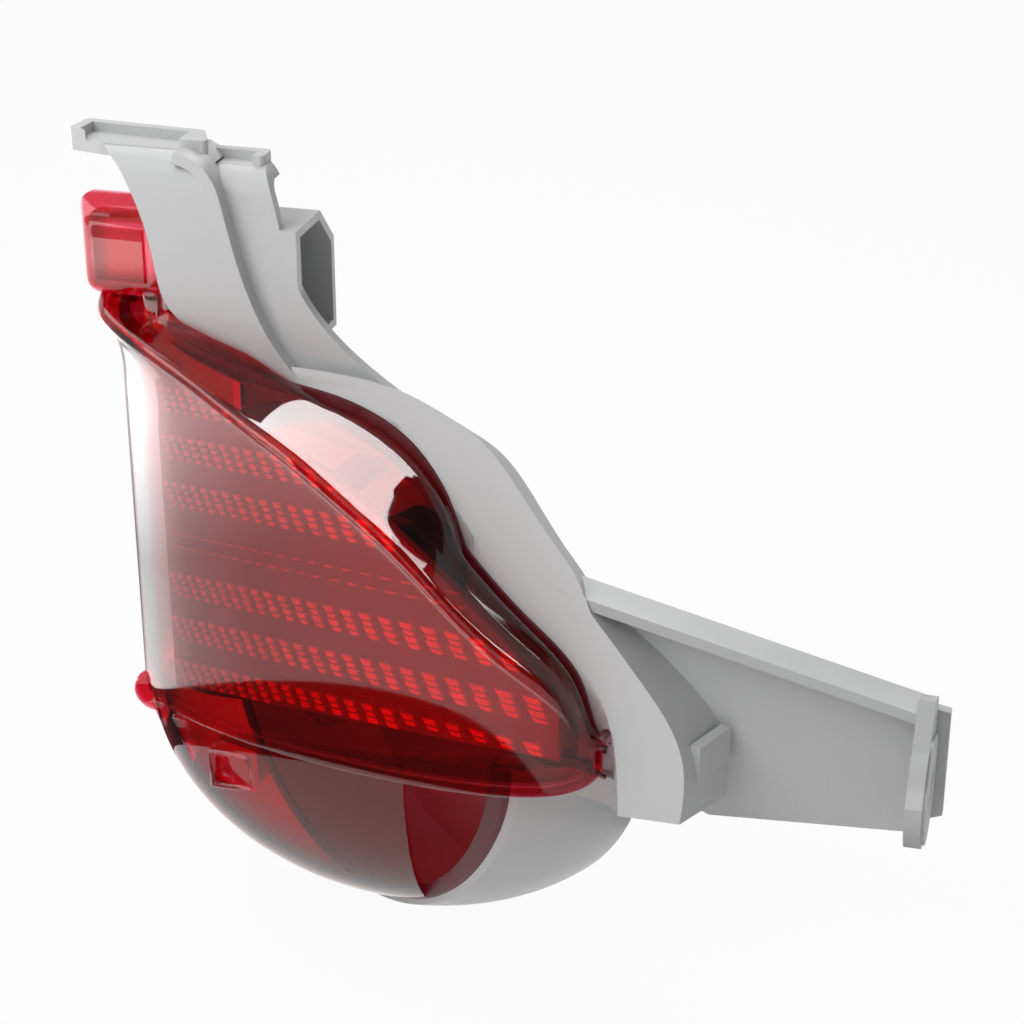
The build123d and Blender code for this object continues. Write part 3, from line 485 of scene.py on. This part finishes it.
def lens_sheet():
    """Outer skin of the lens in rows: ledge, lower edge, face, rounded upper edge, roof and rim."""
    plan = ease(spline(LENS_PLAN, COLUMNS), PLAN_PASSES)
    joint = spline(UPPER_JOINT, JOINT_POINTS)
    turn = np.argmax(plan[:, 0] < REAR_COLUMN_X)
    front = plan[:turn, 0]
    rear_part = joint[joint[:, 0] < plan[turn, 0]]
    rear_at = np.linspace(0, len(rear_part) - 1, COLUMNS - turn).astype(int)
    mate = np.concatenate([np.stack([front, along(joint, front)], axis=1), rear_part[rear_at]])

    run = np.gradient(plan, axis=0)
    run /= np.linalg.norm(run, axis=1)[:, None]
    out = np.stack([-run[:, 1], run[:, 0]], axis=1)
    foot = edge_height(plan[:, 0])
    lip = LIP_OUT * np.clip((LIP_START_X - plan[:, 0]) / LIP_RUN, 0, 1) ** 2
    crown = plan + out * lip[:, None]
    inward = mate - crown
    width = np.linalg.norm(inward, axis=1)
    inward /= width[:, None]
    mate = mate - inward * JOINT_HALF
    peak = lens_roof(crown[:, 0], crown[:, 1])
    top_r = np.minimum(np.minimum(TOP_ROUND, ROUND_SHARE * width), ROUND_SHARE * (peak - foot))
    rim_r = np.minimum(RIM_ROUND, ROUND_SHARE * width)

    ledge = np.minimum(along(np.array(LOWER_JOINT), plan[:, 0]), bowl_side(plan[:, 0]) + LEDGE_PAST)
    ledge = ledge - plan[:, 1]
    ledge = np.where(plan[:, 1] > LEDGE_REAR_Y, LEDGE_REAR, ledge)
    ledge = ease(np.clip(ledge, *LEDGE_LIMITS)[:, None], LEDGE_PASSES)
    low_in = place(plan - out * LOW_ROUND, foot)
    low_up = place(plan, foot + LOW_ROUND)
    ledge_end = place(plan - out * ledge, foot)
    rows = [ledge_end[None], rows_between(ledge_end, low_in, LEDGE_ROWS)]
    rows.append(arc(low_in, place(plan, foot), low_up, ROUND_ROWS))
    face = rows_between(low_up, place(plan, peak - top_r), FACE_ROWS)
    flare = np.clip((face[:, :, 2] - (peak - LIP_RISE)) / LIP_RISE, 0, 1) ** LIP_CURVE
    face[:, :, :2] += out * (lip * flare)[:, :, None]
    rows.append(face)
    over = crown + inward * top_r[:, None]
    over_top = place(over, lens_roof(over[:, 0], over[:, 1]))
    rows.append(arc(place(crown, peak - top_r), place(crown, peak), over_top, TOP_ROUND_ROWS))
    end = mate - inward * rim_r[:, None]
    roof = rows_between(place(over, peak), place(end, peak), ROOF_ROWS)
    share = np.linspace(0, 1, ROOF_ROWS + 2)[1:-1, None]
    fade = np.clip((crown[:, 0] - CREASE_FADE[0]) / (CREASE_FADE[1] - CREASE_FADE[0]), 0, 1)
    rise = np.minimum(CREASE_RISE, CREASE_SHARE * width) * fade
    groove = np.minimum(GROOVE_WIDE / width, GROOVE_SHARE)
    rear = np.clip((REAR_RISE_RUN[0] - crown[:, 0]) / (REAR_RISE_RUN[0] - REAR_RISE_RUN[1]), 0, 1)
    dip = np.minimum(GROOVE_DEEP, GROOVE_DEEP_SHARE * width) * (1 - rear)
    rear = rear * REAR_RISE
    up = np.clip((share - CREASE[0]) / (CREASE[1] - CREASE[0]), 0, 1)
    roof[:, :, 2] = lens_roof(roof[:, :, 0], roof[:, :, 1]) + rise * up
    roof[:, :, 2] += rear * share ** 2 - dip * np.clip((share - 1 + groove) / groove, 0, 1) ** 2
    rows.append(roof)
    end_top = lens_roof(end[:, 0], end[:, 1]) + rise + rear - dip
    mate_top = lens_roof(mate[:, 0], mate[:, 1]) + rise + rear - dip
    rows.append(arc(place(end, end_top), place(mate, mate_top), place(mate, mate_top - rim_r), ROUND_ROWS))
    deep = np.minimum(RIM_DEEP, RIM_SHARE * (mate_top - foot))
    rows.append(rows_between(place(mate, mate_top - rim_r), place(mate, mate_top - rim_r - deep), RIM_ROWS))
    return np.concatenate(rows)


def bowl_sheet():
    """Outer skin of the lower bowl in rows from its rear end to the joint with the grey bowl."""
    sweep = np.linspace(*BOWL_SWEEP, BOWL_COLUMNS)
    x = BOWL_CENTRE[0] - BOWL_HALF[0] * np.cos(sweep)
    small = np.sin(sweep)
    start = np.arcsin(np.clip((BOWL_CENTRE[2] - edge_height(x)) / (BOWL_HALF[2] * small), -1, 1))
    seam = along(np.array(LOWER_JOINT), x) - JOINT_HALF
    end = np.arccos(np.clip((BOWL_CENTRE[1] - seam) / (BOWL_HALF[1] * small), -1, 1))
    end = np.clip(end, start + BOWL_LEAST, np.pi - start)
    turn = start + (end - start) * np.linspace(0, 1, BOWL_ROWS)[:, None]
    y = BOWL_CENTRE[1] - BOWL_HALF[1] * small * np.cos(turn)
    z = BOWL_CENTRE[2] - BOWL_HALF[2] * small * np.sin(turn)
    return np.stack([np.broadcast_to(x, y.shape), y, z], axis=2)


def shell(work, sheet, wall, inside):
    """Closed wall of the given thickness behind a sheet of points, added to a working mesh."""
    count, size = sheet.shape[:2]
    normal = np.cross(np.gradient(sheet, axis=0), np.gradient(sheet, axis=1))
    normal /= np.maximum(np.linalg.norm(normal, axis=2), 1e-9)[:, :, None]
    way = np.sign(np.sum(normal * (sheet - np.array(inside))))
    skins = []
    for points in (sheet, sheet - normal * way * wall):
        skins.append([[work.verts.new(p * MM) for p in row] for row in points])
    outer, inner = skins
    faces = []
    for i in range(count - 1):
        for j in range(size - 1):
            faces.append((outer[i][j], outer[i + 1][j], outer[i + 1][j + 1], outer[i][j + 1]))
            faces.append((inner[i][j], inner[i][j + 1], inner[i + 1][j + 1], inner[i + 1][j]))
    for i in range(count - 1):
        faces.append((outer[i][0], inner[i][0], inner[i + 1][0], outer[i + 1][0]))
        faces.append((outer[i][-1], outer[i + 1][-1], inner[i + 1][-1], inner[i][-1]))
    for j in range(size - 1):
        faces.append((outer[0][j], outer[0][j + 1], inner[0][j + 1], inner[0][j]))
        faces.append((outer[-1][j], inner[-1][j], inner[-1][j + 1], outer[-1][j + 1]))
    for corners in faces:
        work.faces.new(corners if way > 0 else corners[::-1])


def finish_piece(work, name, material, sharp=40):
    """Piece made from a working mesh, smooth up to a sharp angle, riding on the lamp."""
    bmesh.ops.recalc_face_normals(work, faces=work.faces)
    mesh = bpy.data.meshes.new(name)
    work.to_mesh(mesh)
    work.free()
    mesh.materials.append(material)
    mesh.shade_smooth()
    mesh.set_sharp_from_angle(angle=radians(sharp))
    piece = bpy.data.objects.new(name, mesh)
    bpy.context.scene.collection.objects.link(piece)
    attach(piece, "root")
    return piece


def merged_copy(node):
    """Working mesh of a CAD node with its loose triangles joined and flat faces whole again."""
    work = bmesh.new()
    work.from_mesh(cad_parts[node].data)
    bmesh.ops.remove_doubles(work, verts=work.verts, dist=0.002 * MM)
    bmesh.ops.dissolve_limit(work, angle_limit=radians(0.5), verts=work.verts, edges=work.edges)
    return work


def rounded(part, size, segments=2, above=-1000.0):
    """Sharp edges of a working mesh, above a height, rounded by size millimetres."""
    edges = [e for e in part.edges if len(e.link_faces) == 2 and e.calc_face_angle() > CORNER_ANGLE
             and min(v.co.z for v in e.verts) > above * MM]
    bmesh.ops.bevel(part, geom=edges, offset=size * MM, segments=segments, profile=0.5, affect="EDGES",
                    clamp_overlap=True)


def join(work, part):
    """One working mesh taken into another."""
    mesh = bpy.data.meshes.new("joined")
    part.to_mesh(mesh)
    part.free()
    work.from_mesh(mesh)
    bpy.data.meshes.remove(mesh)


def clip_box():
    """The clip box on the lens's nose, cut from the part's own solid, with its edges rounded."""
    part = merged_copy("outer_lens")
    everything = part.verts[:] + part.edges[:] + part.faces[:]
    bmesh.ops.bisect_plane(part, geom=everything, plane_co=Vector(CLIP_CUT) * MM, plane_no=CLIP_CUT_WAY,
                           clear_inner=True)
    bmesh.ops.holes_fill(part, edges=[e for e in part.edges if e.is_boundary])
    rounded(part, CLIP_ROUND, 3)
    return part


def clip_post():
    """Post that carries the clip box beside the fin."""
    part = bmesh.new()
    pose = Matrix.Translation(Vector(POST_AT) * MM) @ Matrix.Diagonal((*(Vector(POST_SIZE) * MM), 1))
    bmesh.ops.create_cube(part, size=1.0, matrix=pose)
    rounded(part, POST_ROUND, 3)
    return part


def lower_tab():
    """Round tab at the lens's lower rear corner."""
    part = bmesh.new()
    pose = Matrix.Translation(Vector(TAB_AT) * MM) @ Matrix.Rotation(radians(90), 4, "X")
    bmesh.ops.create_cone(part, cap_ends=True, segments=TAB_SIDES, radius1=TAB_R * MM, radius2=TAB_R * MM,
                          depth=TAB_THICK * MM, matrix=pose)
    rounded(part, TAB_ROUND, 3)
    return part


def bracket(y, outline):
    """Three-cornered web under the lens's edge."""
    part = bmesh.new()
    face = part.faces.new([part.verts.new(Vector((x, y, z)) * MM) for x, z in outline])
    moved = bmesh.ops.extrude_face_region(part, geom=[face])["geom"]
    bmesh.ops.translate(part, verts=[v for v in moved if isinstance(v, bmesh.types.BMVert)],
                        vec=(0, BRACKET_WALL * MM, 0))
    bmesh.ops.recalc_face_normals(part, faces=part.faces)
    rounded(part, BRACKET_ROUND)
    return part


def socket_block():
    """Small block with a square recess in its outer face."""
    part = bmesh.new()
    pose = Matrix.Translation(Vector(BLOCK_AT) * MM) @ Matrix.Diagonal((*(Vector(BLOCK_SIZE) * MM), 1))
    bmesh.ops.create_cube(part, size=1.0, matrix=pose)
    part.normal_update()
    outer = min(part.faces, key=lambda face: face.normal.y)
    bmesh.ops.inset_individual(part, faces=[outer], thickness=BLOCK_WALL * MM, depth=0)
    bmesh.ops.inset_individual(part, faces=[outer], thickness=BLOCK_DRAFT * MM, depth=-BLOCK_SOCKET * MM)
    rounded(part, BLOCK_ROUND, 3)
    return part


def make_lens():
    """The lens as one piece: upper shell, lower bowl and the small fittings."""
    work = bmesh.new()
    shell(work, lens_sheet(), LENS_WALL, LENS_INSIDE)
    shell(work, bowl_sheet(), LENS_WALL, BOWL_CENTRE)
    for part in (clip_box(), clip_post(), lower_tab(), *[bracket(*b) for b in BRACKETS], socket_block()):
        join(work, part)
    return finish_piece(work, "outer_lens_skin", lens_red)


def make_plate(turn, top):
    """Sail-shaped prism plate."""
    outline = list(top) + PLATE_LOW[::-1]
    work = bmesh.new()
    front = work.faces.new([work.verts.new(turn @ Vector((x, 0, z)) * MM) for x, z in outline])
    back = bmesh.ops.extrude_face_region(work, geom=[front])["geom"]
    away = turn.to_3x3() @ Vector((0, PLATE_THICK, 0)) * MM
    bmesh.ops.translate(work, verts=[v for v in back if isinstance(v, bmesh.types.BMVert)], vec=away)
    plate = finish_piece(work, "prism_plate_skin", plate_red)
    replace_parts(plate, "prism_plate")


def bar_points(turn, top):
    """Object of points where the prism bars stand, with each bar's size: the cells narrow to the rear."""
    points = []
    wide = []
    tall = []
    low = np.array(PLATE_LOW)
    rear = PLATE_TOP[-1][0]
    under, over, beside = BAR_MARGINS
    for row in range(ROW_COUNT):
        x = ROW_START
        while x > rear + ROW_END_MARGIN:
            pitch = CELL_FRONT + (CELL_REAR - CELL_FRONT) * x / rear
            for up, size, aside, fill in PLAIN_BARS if row == PLAIN_ROW else CELL_BARS:
                at = x - pitch * (0.5 - aside) - CELL_LEAN * up
                z = ROW_MIDDLE + row * ROW_PITCH + up
                bottom = along(low, at) + under
                peak = along(top, at) - over
                if at > -beside or z - size / 2 < bottom or z + size / 2 > peak:
                    continue
                points.append(turn @ Vector((at, BAR_PROUD, z)) * MM)
                wide.append(pitch * fill * MM)
                tall.append(size * MM)
            x -= pitch
    mesh = bpy.data.meshes.new("prism_bars")
    mesh.from_pydata(points, [], [])
    for name, values in (("wide", wide), ("tall", tall)):
        mesh.attributes.new(name, "FLOAT", "POINT").data.foreach_set("value", values)
    bars = bpy.data.objects.new("prism_bars", mesh)
    bpy.context.scene.collection.objects.link(bars)
    return bars


def bar_tree():
    """Geometry nodes that set a leaning, tapered bar on every point, and the identifiers of their inputs."""
    tree = bpy.data.node_groups.new("prism_bars", "GeometryNodeTree")
    sockets = {}
    tree.interface.new_socket("Geometry", in_out="INPUT", socket_type="NodeSocketGeometry")
    for name in BAR_SHAPE:
        socket = tree.interface.new_socket(name, in_out="INPUT", socket_type="NodeSocketFloat")
        sockets[name] = socket.identifier
    tree.interface.new_socket("Geometry", in_out="OUTPUT", socket_type="NodeSocketGeometry")
    given = add(tree, "NodeGroupInput")
    prism = add(tree, "GeometryNodeMeshCone",
                values={"Vertices": 4, "Radius Bottom": 0.5 ** 0.5, "Depth": 1.0},
                links={"Radius Top": given.outputs["Taper"]})
    facing = add(tree, "GeometryNodeTransform", values={"Rotation": (radians(90), radians(-45), 0)},
                 links={"Geometry": prism.outputs["Mesh"]})
    where = add(tree, "GeometryNodeInputPosition")
    parts = add(tree, "ShaderNodeSeparateXYZ", links={"Vector": where.outputs["Position"]})
    flared = add(tree, "ShaderNodeMath", {"operation": "MULTIPLY_ADD"},
                 links={0: parts.outputs["X"], 1: given.outputs["Flare"], 2: given.outputs["Lean"]})
    moved = add(tree, "ShaderNodeMath", {"operation": "MULTIPLY"},
                links={0: parts.outputs["Z"], 1: flared.outputs["Value"]})
    aside = add(tree, "ShaderNodeCombineXYZ", links={"X": moved.outputs["Value"]})
    leaning = add(tree, "GeometryNodeSetPosition",
                  links={"Geometry": facing.outputs["Geometry"], "Offset": aside.outputs["Vector"]})
    wide_read = add(tree, "GeometryNodeInputNamedAttribute", {"data_type": "FLOAT"}, {"Name": "wide"})
    tall_read = add(tree, "GeometryNodeInputNamedAttribute", {"data_type": "FLOAT"}, {"Name": "tall"})
    size = add(tree, "ShaderNodeCombineXYZ",
               links={"X": wide_read.outputs["Attribute"], "Y": given.outputs["Depth"],
                      "Z": tall_read.outputs["Attribute"]})
    lean = add(tree, "ShaderNodeCombineXYZ", links={"X": given.outputs["Tilt"], "Z": given.outputs["Turn"]})
    spread_out = add(tree, "GeometryNodeInstanceOnPoints",
                     links={"Points": given.outputs["Geometry"], "Instance": leaning.outputs["Geometry"],
                            "Scale": size.outputs["Vector"], "Rotation": lean.outputs["Vector"]})
    real = add(tree, "GeometryNodeRealizeInstances", links={"Geometry": spread_out.outputs["Instances"]})
    coat = add(tree, "GeometryNodeSetMaterial", values={"Material": prism_red},
               links={"Geometry": real.outputs["Geometry"]})
    add(tree, "NodeGroupOutput", links={"Geometry": coat.outputs["Geometry"]})
    return tree, sockets


def make_prisms():
    """Prism plate, and its bars spread over it by geometry nodes."""
    turn = Matrix.Translation((PLATE_FRONT[0], PLATE_FRONT[1], 0)) @ Matrix.Rotation(PLATE_TURN, 4, "Z")
    top = spline(PLATE_TOP, PLATE_POINTS)
    make_plate(turn, top)
    bars = bar_points(turn, top)
    tree, sockets = bar_tree()
    modifier = bars.modifiers.new("bars", "NODES")
    modifier.node_group = tree
    for name, value in BAR_SHAPE.items():
        modifier[sockets[name]] = value
    bars.data = bpy.data.meshes.new_from_object(bars.evaluated_get(bpy.context.evaluated_depsgraph_get()))
    bars.modifiers.clear()
    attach(bars, "root")


def make_housing():
    """Merged copy of the housing with its corners rounded as moulded ones are."""
    work = merged_copy("housing")
    rounded(work, TRAY_ROUND, 3, TRAY_LOW)
    rounded(work, HOUSING_ROUND)
    piece = finish_piece(work, "housing_skin", housing_grey, 45)
    even = piece.modifiers.new("even_shading", "WEIGHTED_NORMAL")
    even.keep_sharp = True
    piece.data = bpy.data.meshes.new_from_object(piece.evaluated_get(bpy.context.evaluated_depsgraph_get()))
    piece.modifiers.clear()
    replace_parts(piece, "housing")


def plain_light(name, level):
    """Even white light of a card."""
    material, tree, out = new_material(name)
    glow = add(tree, "ShaderNodeEmission", values={"Color": WHITE, "Strength": level})
    tree.links.new(glow.outputs["Emission"], out.inputs["Surface"])
    return material


def ring_light():
    """White light of the lit ring, which changes with the direction and grows with the distance."""
    material, tree, out = new_material("white_light_card")
    where = add(tree, "ShaderNodeTexCoord")
    centred = add(tree, "ShaderNodeMapping", values={"Location": (-CARD_CENTRE[0], -CARD_CENTRE[1], 0)},
                  links={"Vector": where.outputs["Object"]})
    angle = add(tree, "ShaderNodeTexGradient", {"gradient_type": "RADIAL"},
                links={"Vector": centred.outputs["Vector"]})
    ramp = add(tree, "ShaderNodeValToRGB", links={"Fac": angle.outputs["Fac"]})
    stops = ramp.color_ramp.elements
    while len(stops) < len(CARD_LEVELS):
        stops.new(0.5)
    for stop, (degrees, level) in zip(stops, CARD_LEVELS):
        stop.position = (degrees + 180) % 360 / 360
        stop.color = (level, level, level, 1)
    away = add(tree, "ShaderNodeVectorMath", {"operation": "LENGTH"}, links={0: centred.outputs["Vector"]})
    gain = add(tree, "ShaderNodeMapRange",
               values={"From Min": CARD_FAR[0], "From Max": CARD_FAR[1], "To Min": CARD_PEAK,
                       "To Max": CARD_PEAK * CARD_FAR_GAIN}, links={"Value": away.outputs["Value"]})
    glow = add(tree, "ShaderNodeEmission",
               links={"Color": ramp.outputs["Color"], "Strength": gain.outputs["Result"]})
    tree.links.new(glow.outputs["Emission"], out.inputs["Surface"])
    return material


def floor_cards():
    """Mesh of the cards on the floor: a lit disc under the lamp, a lit ring and dark felt between."""
    work = bmesh.new()
    steps = [radians(a) for a in range(0, 361, CARD_STEP)]
    height = FLOOR_Z + CARD_LIFT
    for kind, radii in enumerate(CARD_RINGS):
        near, far = [[work.verts.new((CARD_CENTRE[0] + r * cos(a), CARD_CENTRE[1] + r * sin(a), height))
                      for a in steps] for r in radii]
        for i in range(len(steps) - 1):
            work.faces.new((near[i], far[i], far[i + 1], near[i + 1])).material_index = kind
    mesh = bpy.data.meshes.new("floor_cards")
    work.to_mesh(mesh)
    work.free()
    for material in (plain_light("white_light_disc", DISC_LEVEL), ring_light(),
                     plain_light("black_felt_ring", FELT_LEVEL)):
        mesh.materials.append(material)
    return mesh


def upright_card(name, at, size, level):
    """Mesh of one card or flag that faces the lit spot."""
    panel = bpy.data.meshes.new(name)
    facing = (LIT_SPOT - Vector(at)).to_track_quat("-Z", "Y")
    corners = [Vector(at) + facing @ Vector((i * size[0] / 2, j * size[1] / 2, 0))
               for i, j in ((-1, -1), (1, -1), (1, 1), (-1, 1))]
    panel.from_pydata(corners, [], [(0, 1, 2, 3)])
    panel.materials.append(plain_light(name, level))
    return panel


def make_cards(scene):
    """Cards and flags that only mirrored rays meet: they shape the sheen of the lens and the housing."""
    for mesh in (floor_cards(), *[upright_card(*card) for card in UPRIGHT_CARDS]):
        card = bpy.data.objects.new(mesh.name, mesh)
        scene.collection.objects.link(card)
        for ray in ("camera", "diffuse", "transmission", "volume_scatter", "shadow"):
            setattr(card, "visible_" + ray, False)


def seen_ray(tree):
    """One for rays from the camera, mirrored or let through, which see plain white, else nought."""
    path = add(tree, "ShaderNodeLightPath")
    seen = add(tree, "ShaderNodeMath",
               links={0: path.outputs["Is Camera Ray"], 1: path.outputs["Is Glossy Ray"]})
    return add(tree, "ShaderNodeMath", {"use_clamp": True},
               links={0: seen.outputs["Value"], 1: path.outputs["Is Transmission Ray"]}).outputs["Value"]


def make_world(scene):
    """White surroundings that light the lamp softly."""
    world = bpy.data.worlds.new("studio")
    scene.world = world
    world.use_nodes = True
    tree = world.node_tree
    tree.nodes.clear()
    out = add(tree, "ShaderNodeOutputWorld")
    level = add(tree, "ShaderNodeMapRange", values={"To Min": WORLD_LIGHT, "To Max": 1.0},
                links={"Value": seen_ray(tree)})
    back = add(tree, "ShaderNodeBackground", values={"Color": WHITE},
               links={"Strength": level.outputs["Result"]})
    tree.links.new(back.outputs["Background"], out.inputs["Surface"])


def make_floor(scene):
    """White paper floor, which keeps the lamp's soft shadow."""
    mesh = bpy.data.meshes.new("floor")
    corners = [(i * FLOOR_HALF, j * FLOOR_HALF, FLOOR_Z) for i, j in ((-1, -1), (1, -1), (1, 1), (-1, 1))]
    mesh.from_pydata(corners, [], [(0, 1, 2, 3)])
    floor = bpy.data.objects.new("floor", mesh)
    scene.collection.objects.link(floor)
    white, tree, out = new_material("white_paper_floor")
    matte = add(tree, "ShaderNodeBsdfDiffuse", values={"Color": FLOOR_SHADE})
    glow = add(tree, "ShaderNodeEmission", values={"Color": WHITE, "Strength": 1.0})
    share = add(tree, "ShaderNodeMath", {"operation": "MULTIPLY"}, {1: FLOOR_WHITE}, {0: seen_ray(tree)})
    mix = add(tree, "ShaderNodeMixShader",
              links={"Fac": share.outputs["Value"], 1: matte.outputs["BSDF"], 2: glow.outputs["Emission"]})
    tree.links.new(mix.outputs["Shader"], out.inputs["Surface"])
    mesh.materials.append(white)


def make_stage():
    """White floor and surroundings, the cards that the lens mirrors, two soft lamps and the camera."""
    scene = bpy.context.scene
    scene.view_settings.view_transform = "Standard"
    make_world(scene)
    make_floor(scene)
    make_cards(scene)

    for name, energy, size, spot in LAMPS:
        lamp = bpy.data.lights.new(name, "AREA")
        lamp.shape = "RECTANGLE"
        lamp.size, lamp.size_y = size
        lamp.energy = energy
        lamp_object = bpy.data.objects.new(name, lamp)
        lamp_object.location = spot
        lamp_object.rotation_euler = (LAMP_AIM - Vector(spot)).to_track_quat("-Z", "Y").to_euler()
        scene.collection.objects.link(lamp_object)

    camera = bpy.data.cameras.new("camera")
    camera.lens = CAMERA_LENS
    camera.sensor_width = CAMERA_SENSOR
    camera.clip_start = CAMERA_NEAR
    camera_object = bpy.data.objects.new("camera", camera)
    look = Vector((-sin(VIEW_TURN) * cos(VIEW_DOWN), cos(VIEW_TURN) * cos(VIEW_DOWN), -sin(VIEW_DOWN)))
    camera_object.location = CAMERA_AT
    camera_object.rotation_euler = look.to_track_quat("-Z", "Y").to_euler()
    scene.collection.objects.link(camera_object)
    scene.camera = camera_object


lens_red = red_lens_pmma()
# Both carry a painted glow that stands for light thrown back by the facets: faint on the plate, strong on the
# prisms
plate_red = prism_pmma("red_PMMA_plate", "#A81222", "#B81A2A", 0.3)
prism_red = prism_pmma("red_PMMA_prisms", "#F01828", "#FF3038", 0.75)
housing_grey = grey_pc_abs()
# Vacuum-metallised PC: silver with a soft haze and the faint waves of the moulding under the coat
chrome_coat = made_surface("metallised_PC", "#C4C4C8", "#DCDCDE", 12.0, (0.18, 0.34), 4.0, 0.05, metallic=0.7)
# Zinc-plated steel: pale grey-blue crystals in patches, half dull
screw_zinc = made_surface("zinc_steel_screw", "#A4A6A6", "#C8C6BE", 1.2, (0.28, 0.48), 0.4, 0.15,
                          metallic=1.0)
# Bulb glass: clear, with a trace of handling film
bulb_glass = made_surface("bulb_glass", "#EEEEE8", "#F8F8F6", 6.0, (0.02, 0.09), 3.0, 0.02,
                          transmission_weight=1.0)
# Glass-filled nylon: charcoal with paler fibre flecks at the skin, drawn coarser than the real 0.1 mm ones
black_nylon = made_surface("black_glass_filled_nylon", "#343436", "#4A4A4C", 0.8, (0.42, 0.62), 0.5, 0.25)
# Moulded EPDM: dull black with a bloom of grey
black_rubber = made_surface("black_EPDM", "#121212", "#262624", 2.5, (0.62, 0.82), 0.6, 0.2)
# Tinned brass strip: yellow metal under a thin grey film, rolled lines along the blades
contact_brass = made_surface("tinned_brass", "#B89A5C", "#CFC2A0", 0.8, (0.22, 0.4), 0.4, 0.12,
                             stretch=(0.2, 0.2, 1.0), metallic=1.0)
# Closed-cell foam: charcoal with open cells at the cut faces
grey_foam = made_surface("closed_cell_foam", "#222224", "#3E3E40", 1.0, (0.85, 0.95), 0.9, 0.9)
# Butyl bead: sticky gloss, drawn dark red as a painted tint that stands for the lens's red light on it at the
# joint
butyl = made_surface("butyl_bead", "#3A1014", "#6A1A20", 5.0, (0.35, 0.55), 1.5, 0.3)

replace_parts(make_lens(), "outer_lens")
make_prisms()
make_housing()
finishes = {
    "reflector": chrome_coat, "reflector_screws": screw_zinc, "lens_seal": butyl,
    "tail_stop_bulb": bulb_glass, "marker_bulb": bulb_glass, "tail_stop_socket": black_nylon,
    "marker_socket": black_nylon, "tail_stop_seal": black_rubber, "marker_seal": black_rubber,
    "tail_stop_contacts": contact_brass, "marker_contacts": contact_brass, "vent_cap": black_rubber,
    "body_gasket": grey_foam,
}
for name, material in finishes.items():
    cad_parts[name].data.materials.clear()
    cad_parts[name].data.materials.append(material)

make_stage()
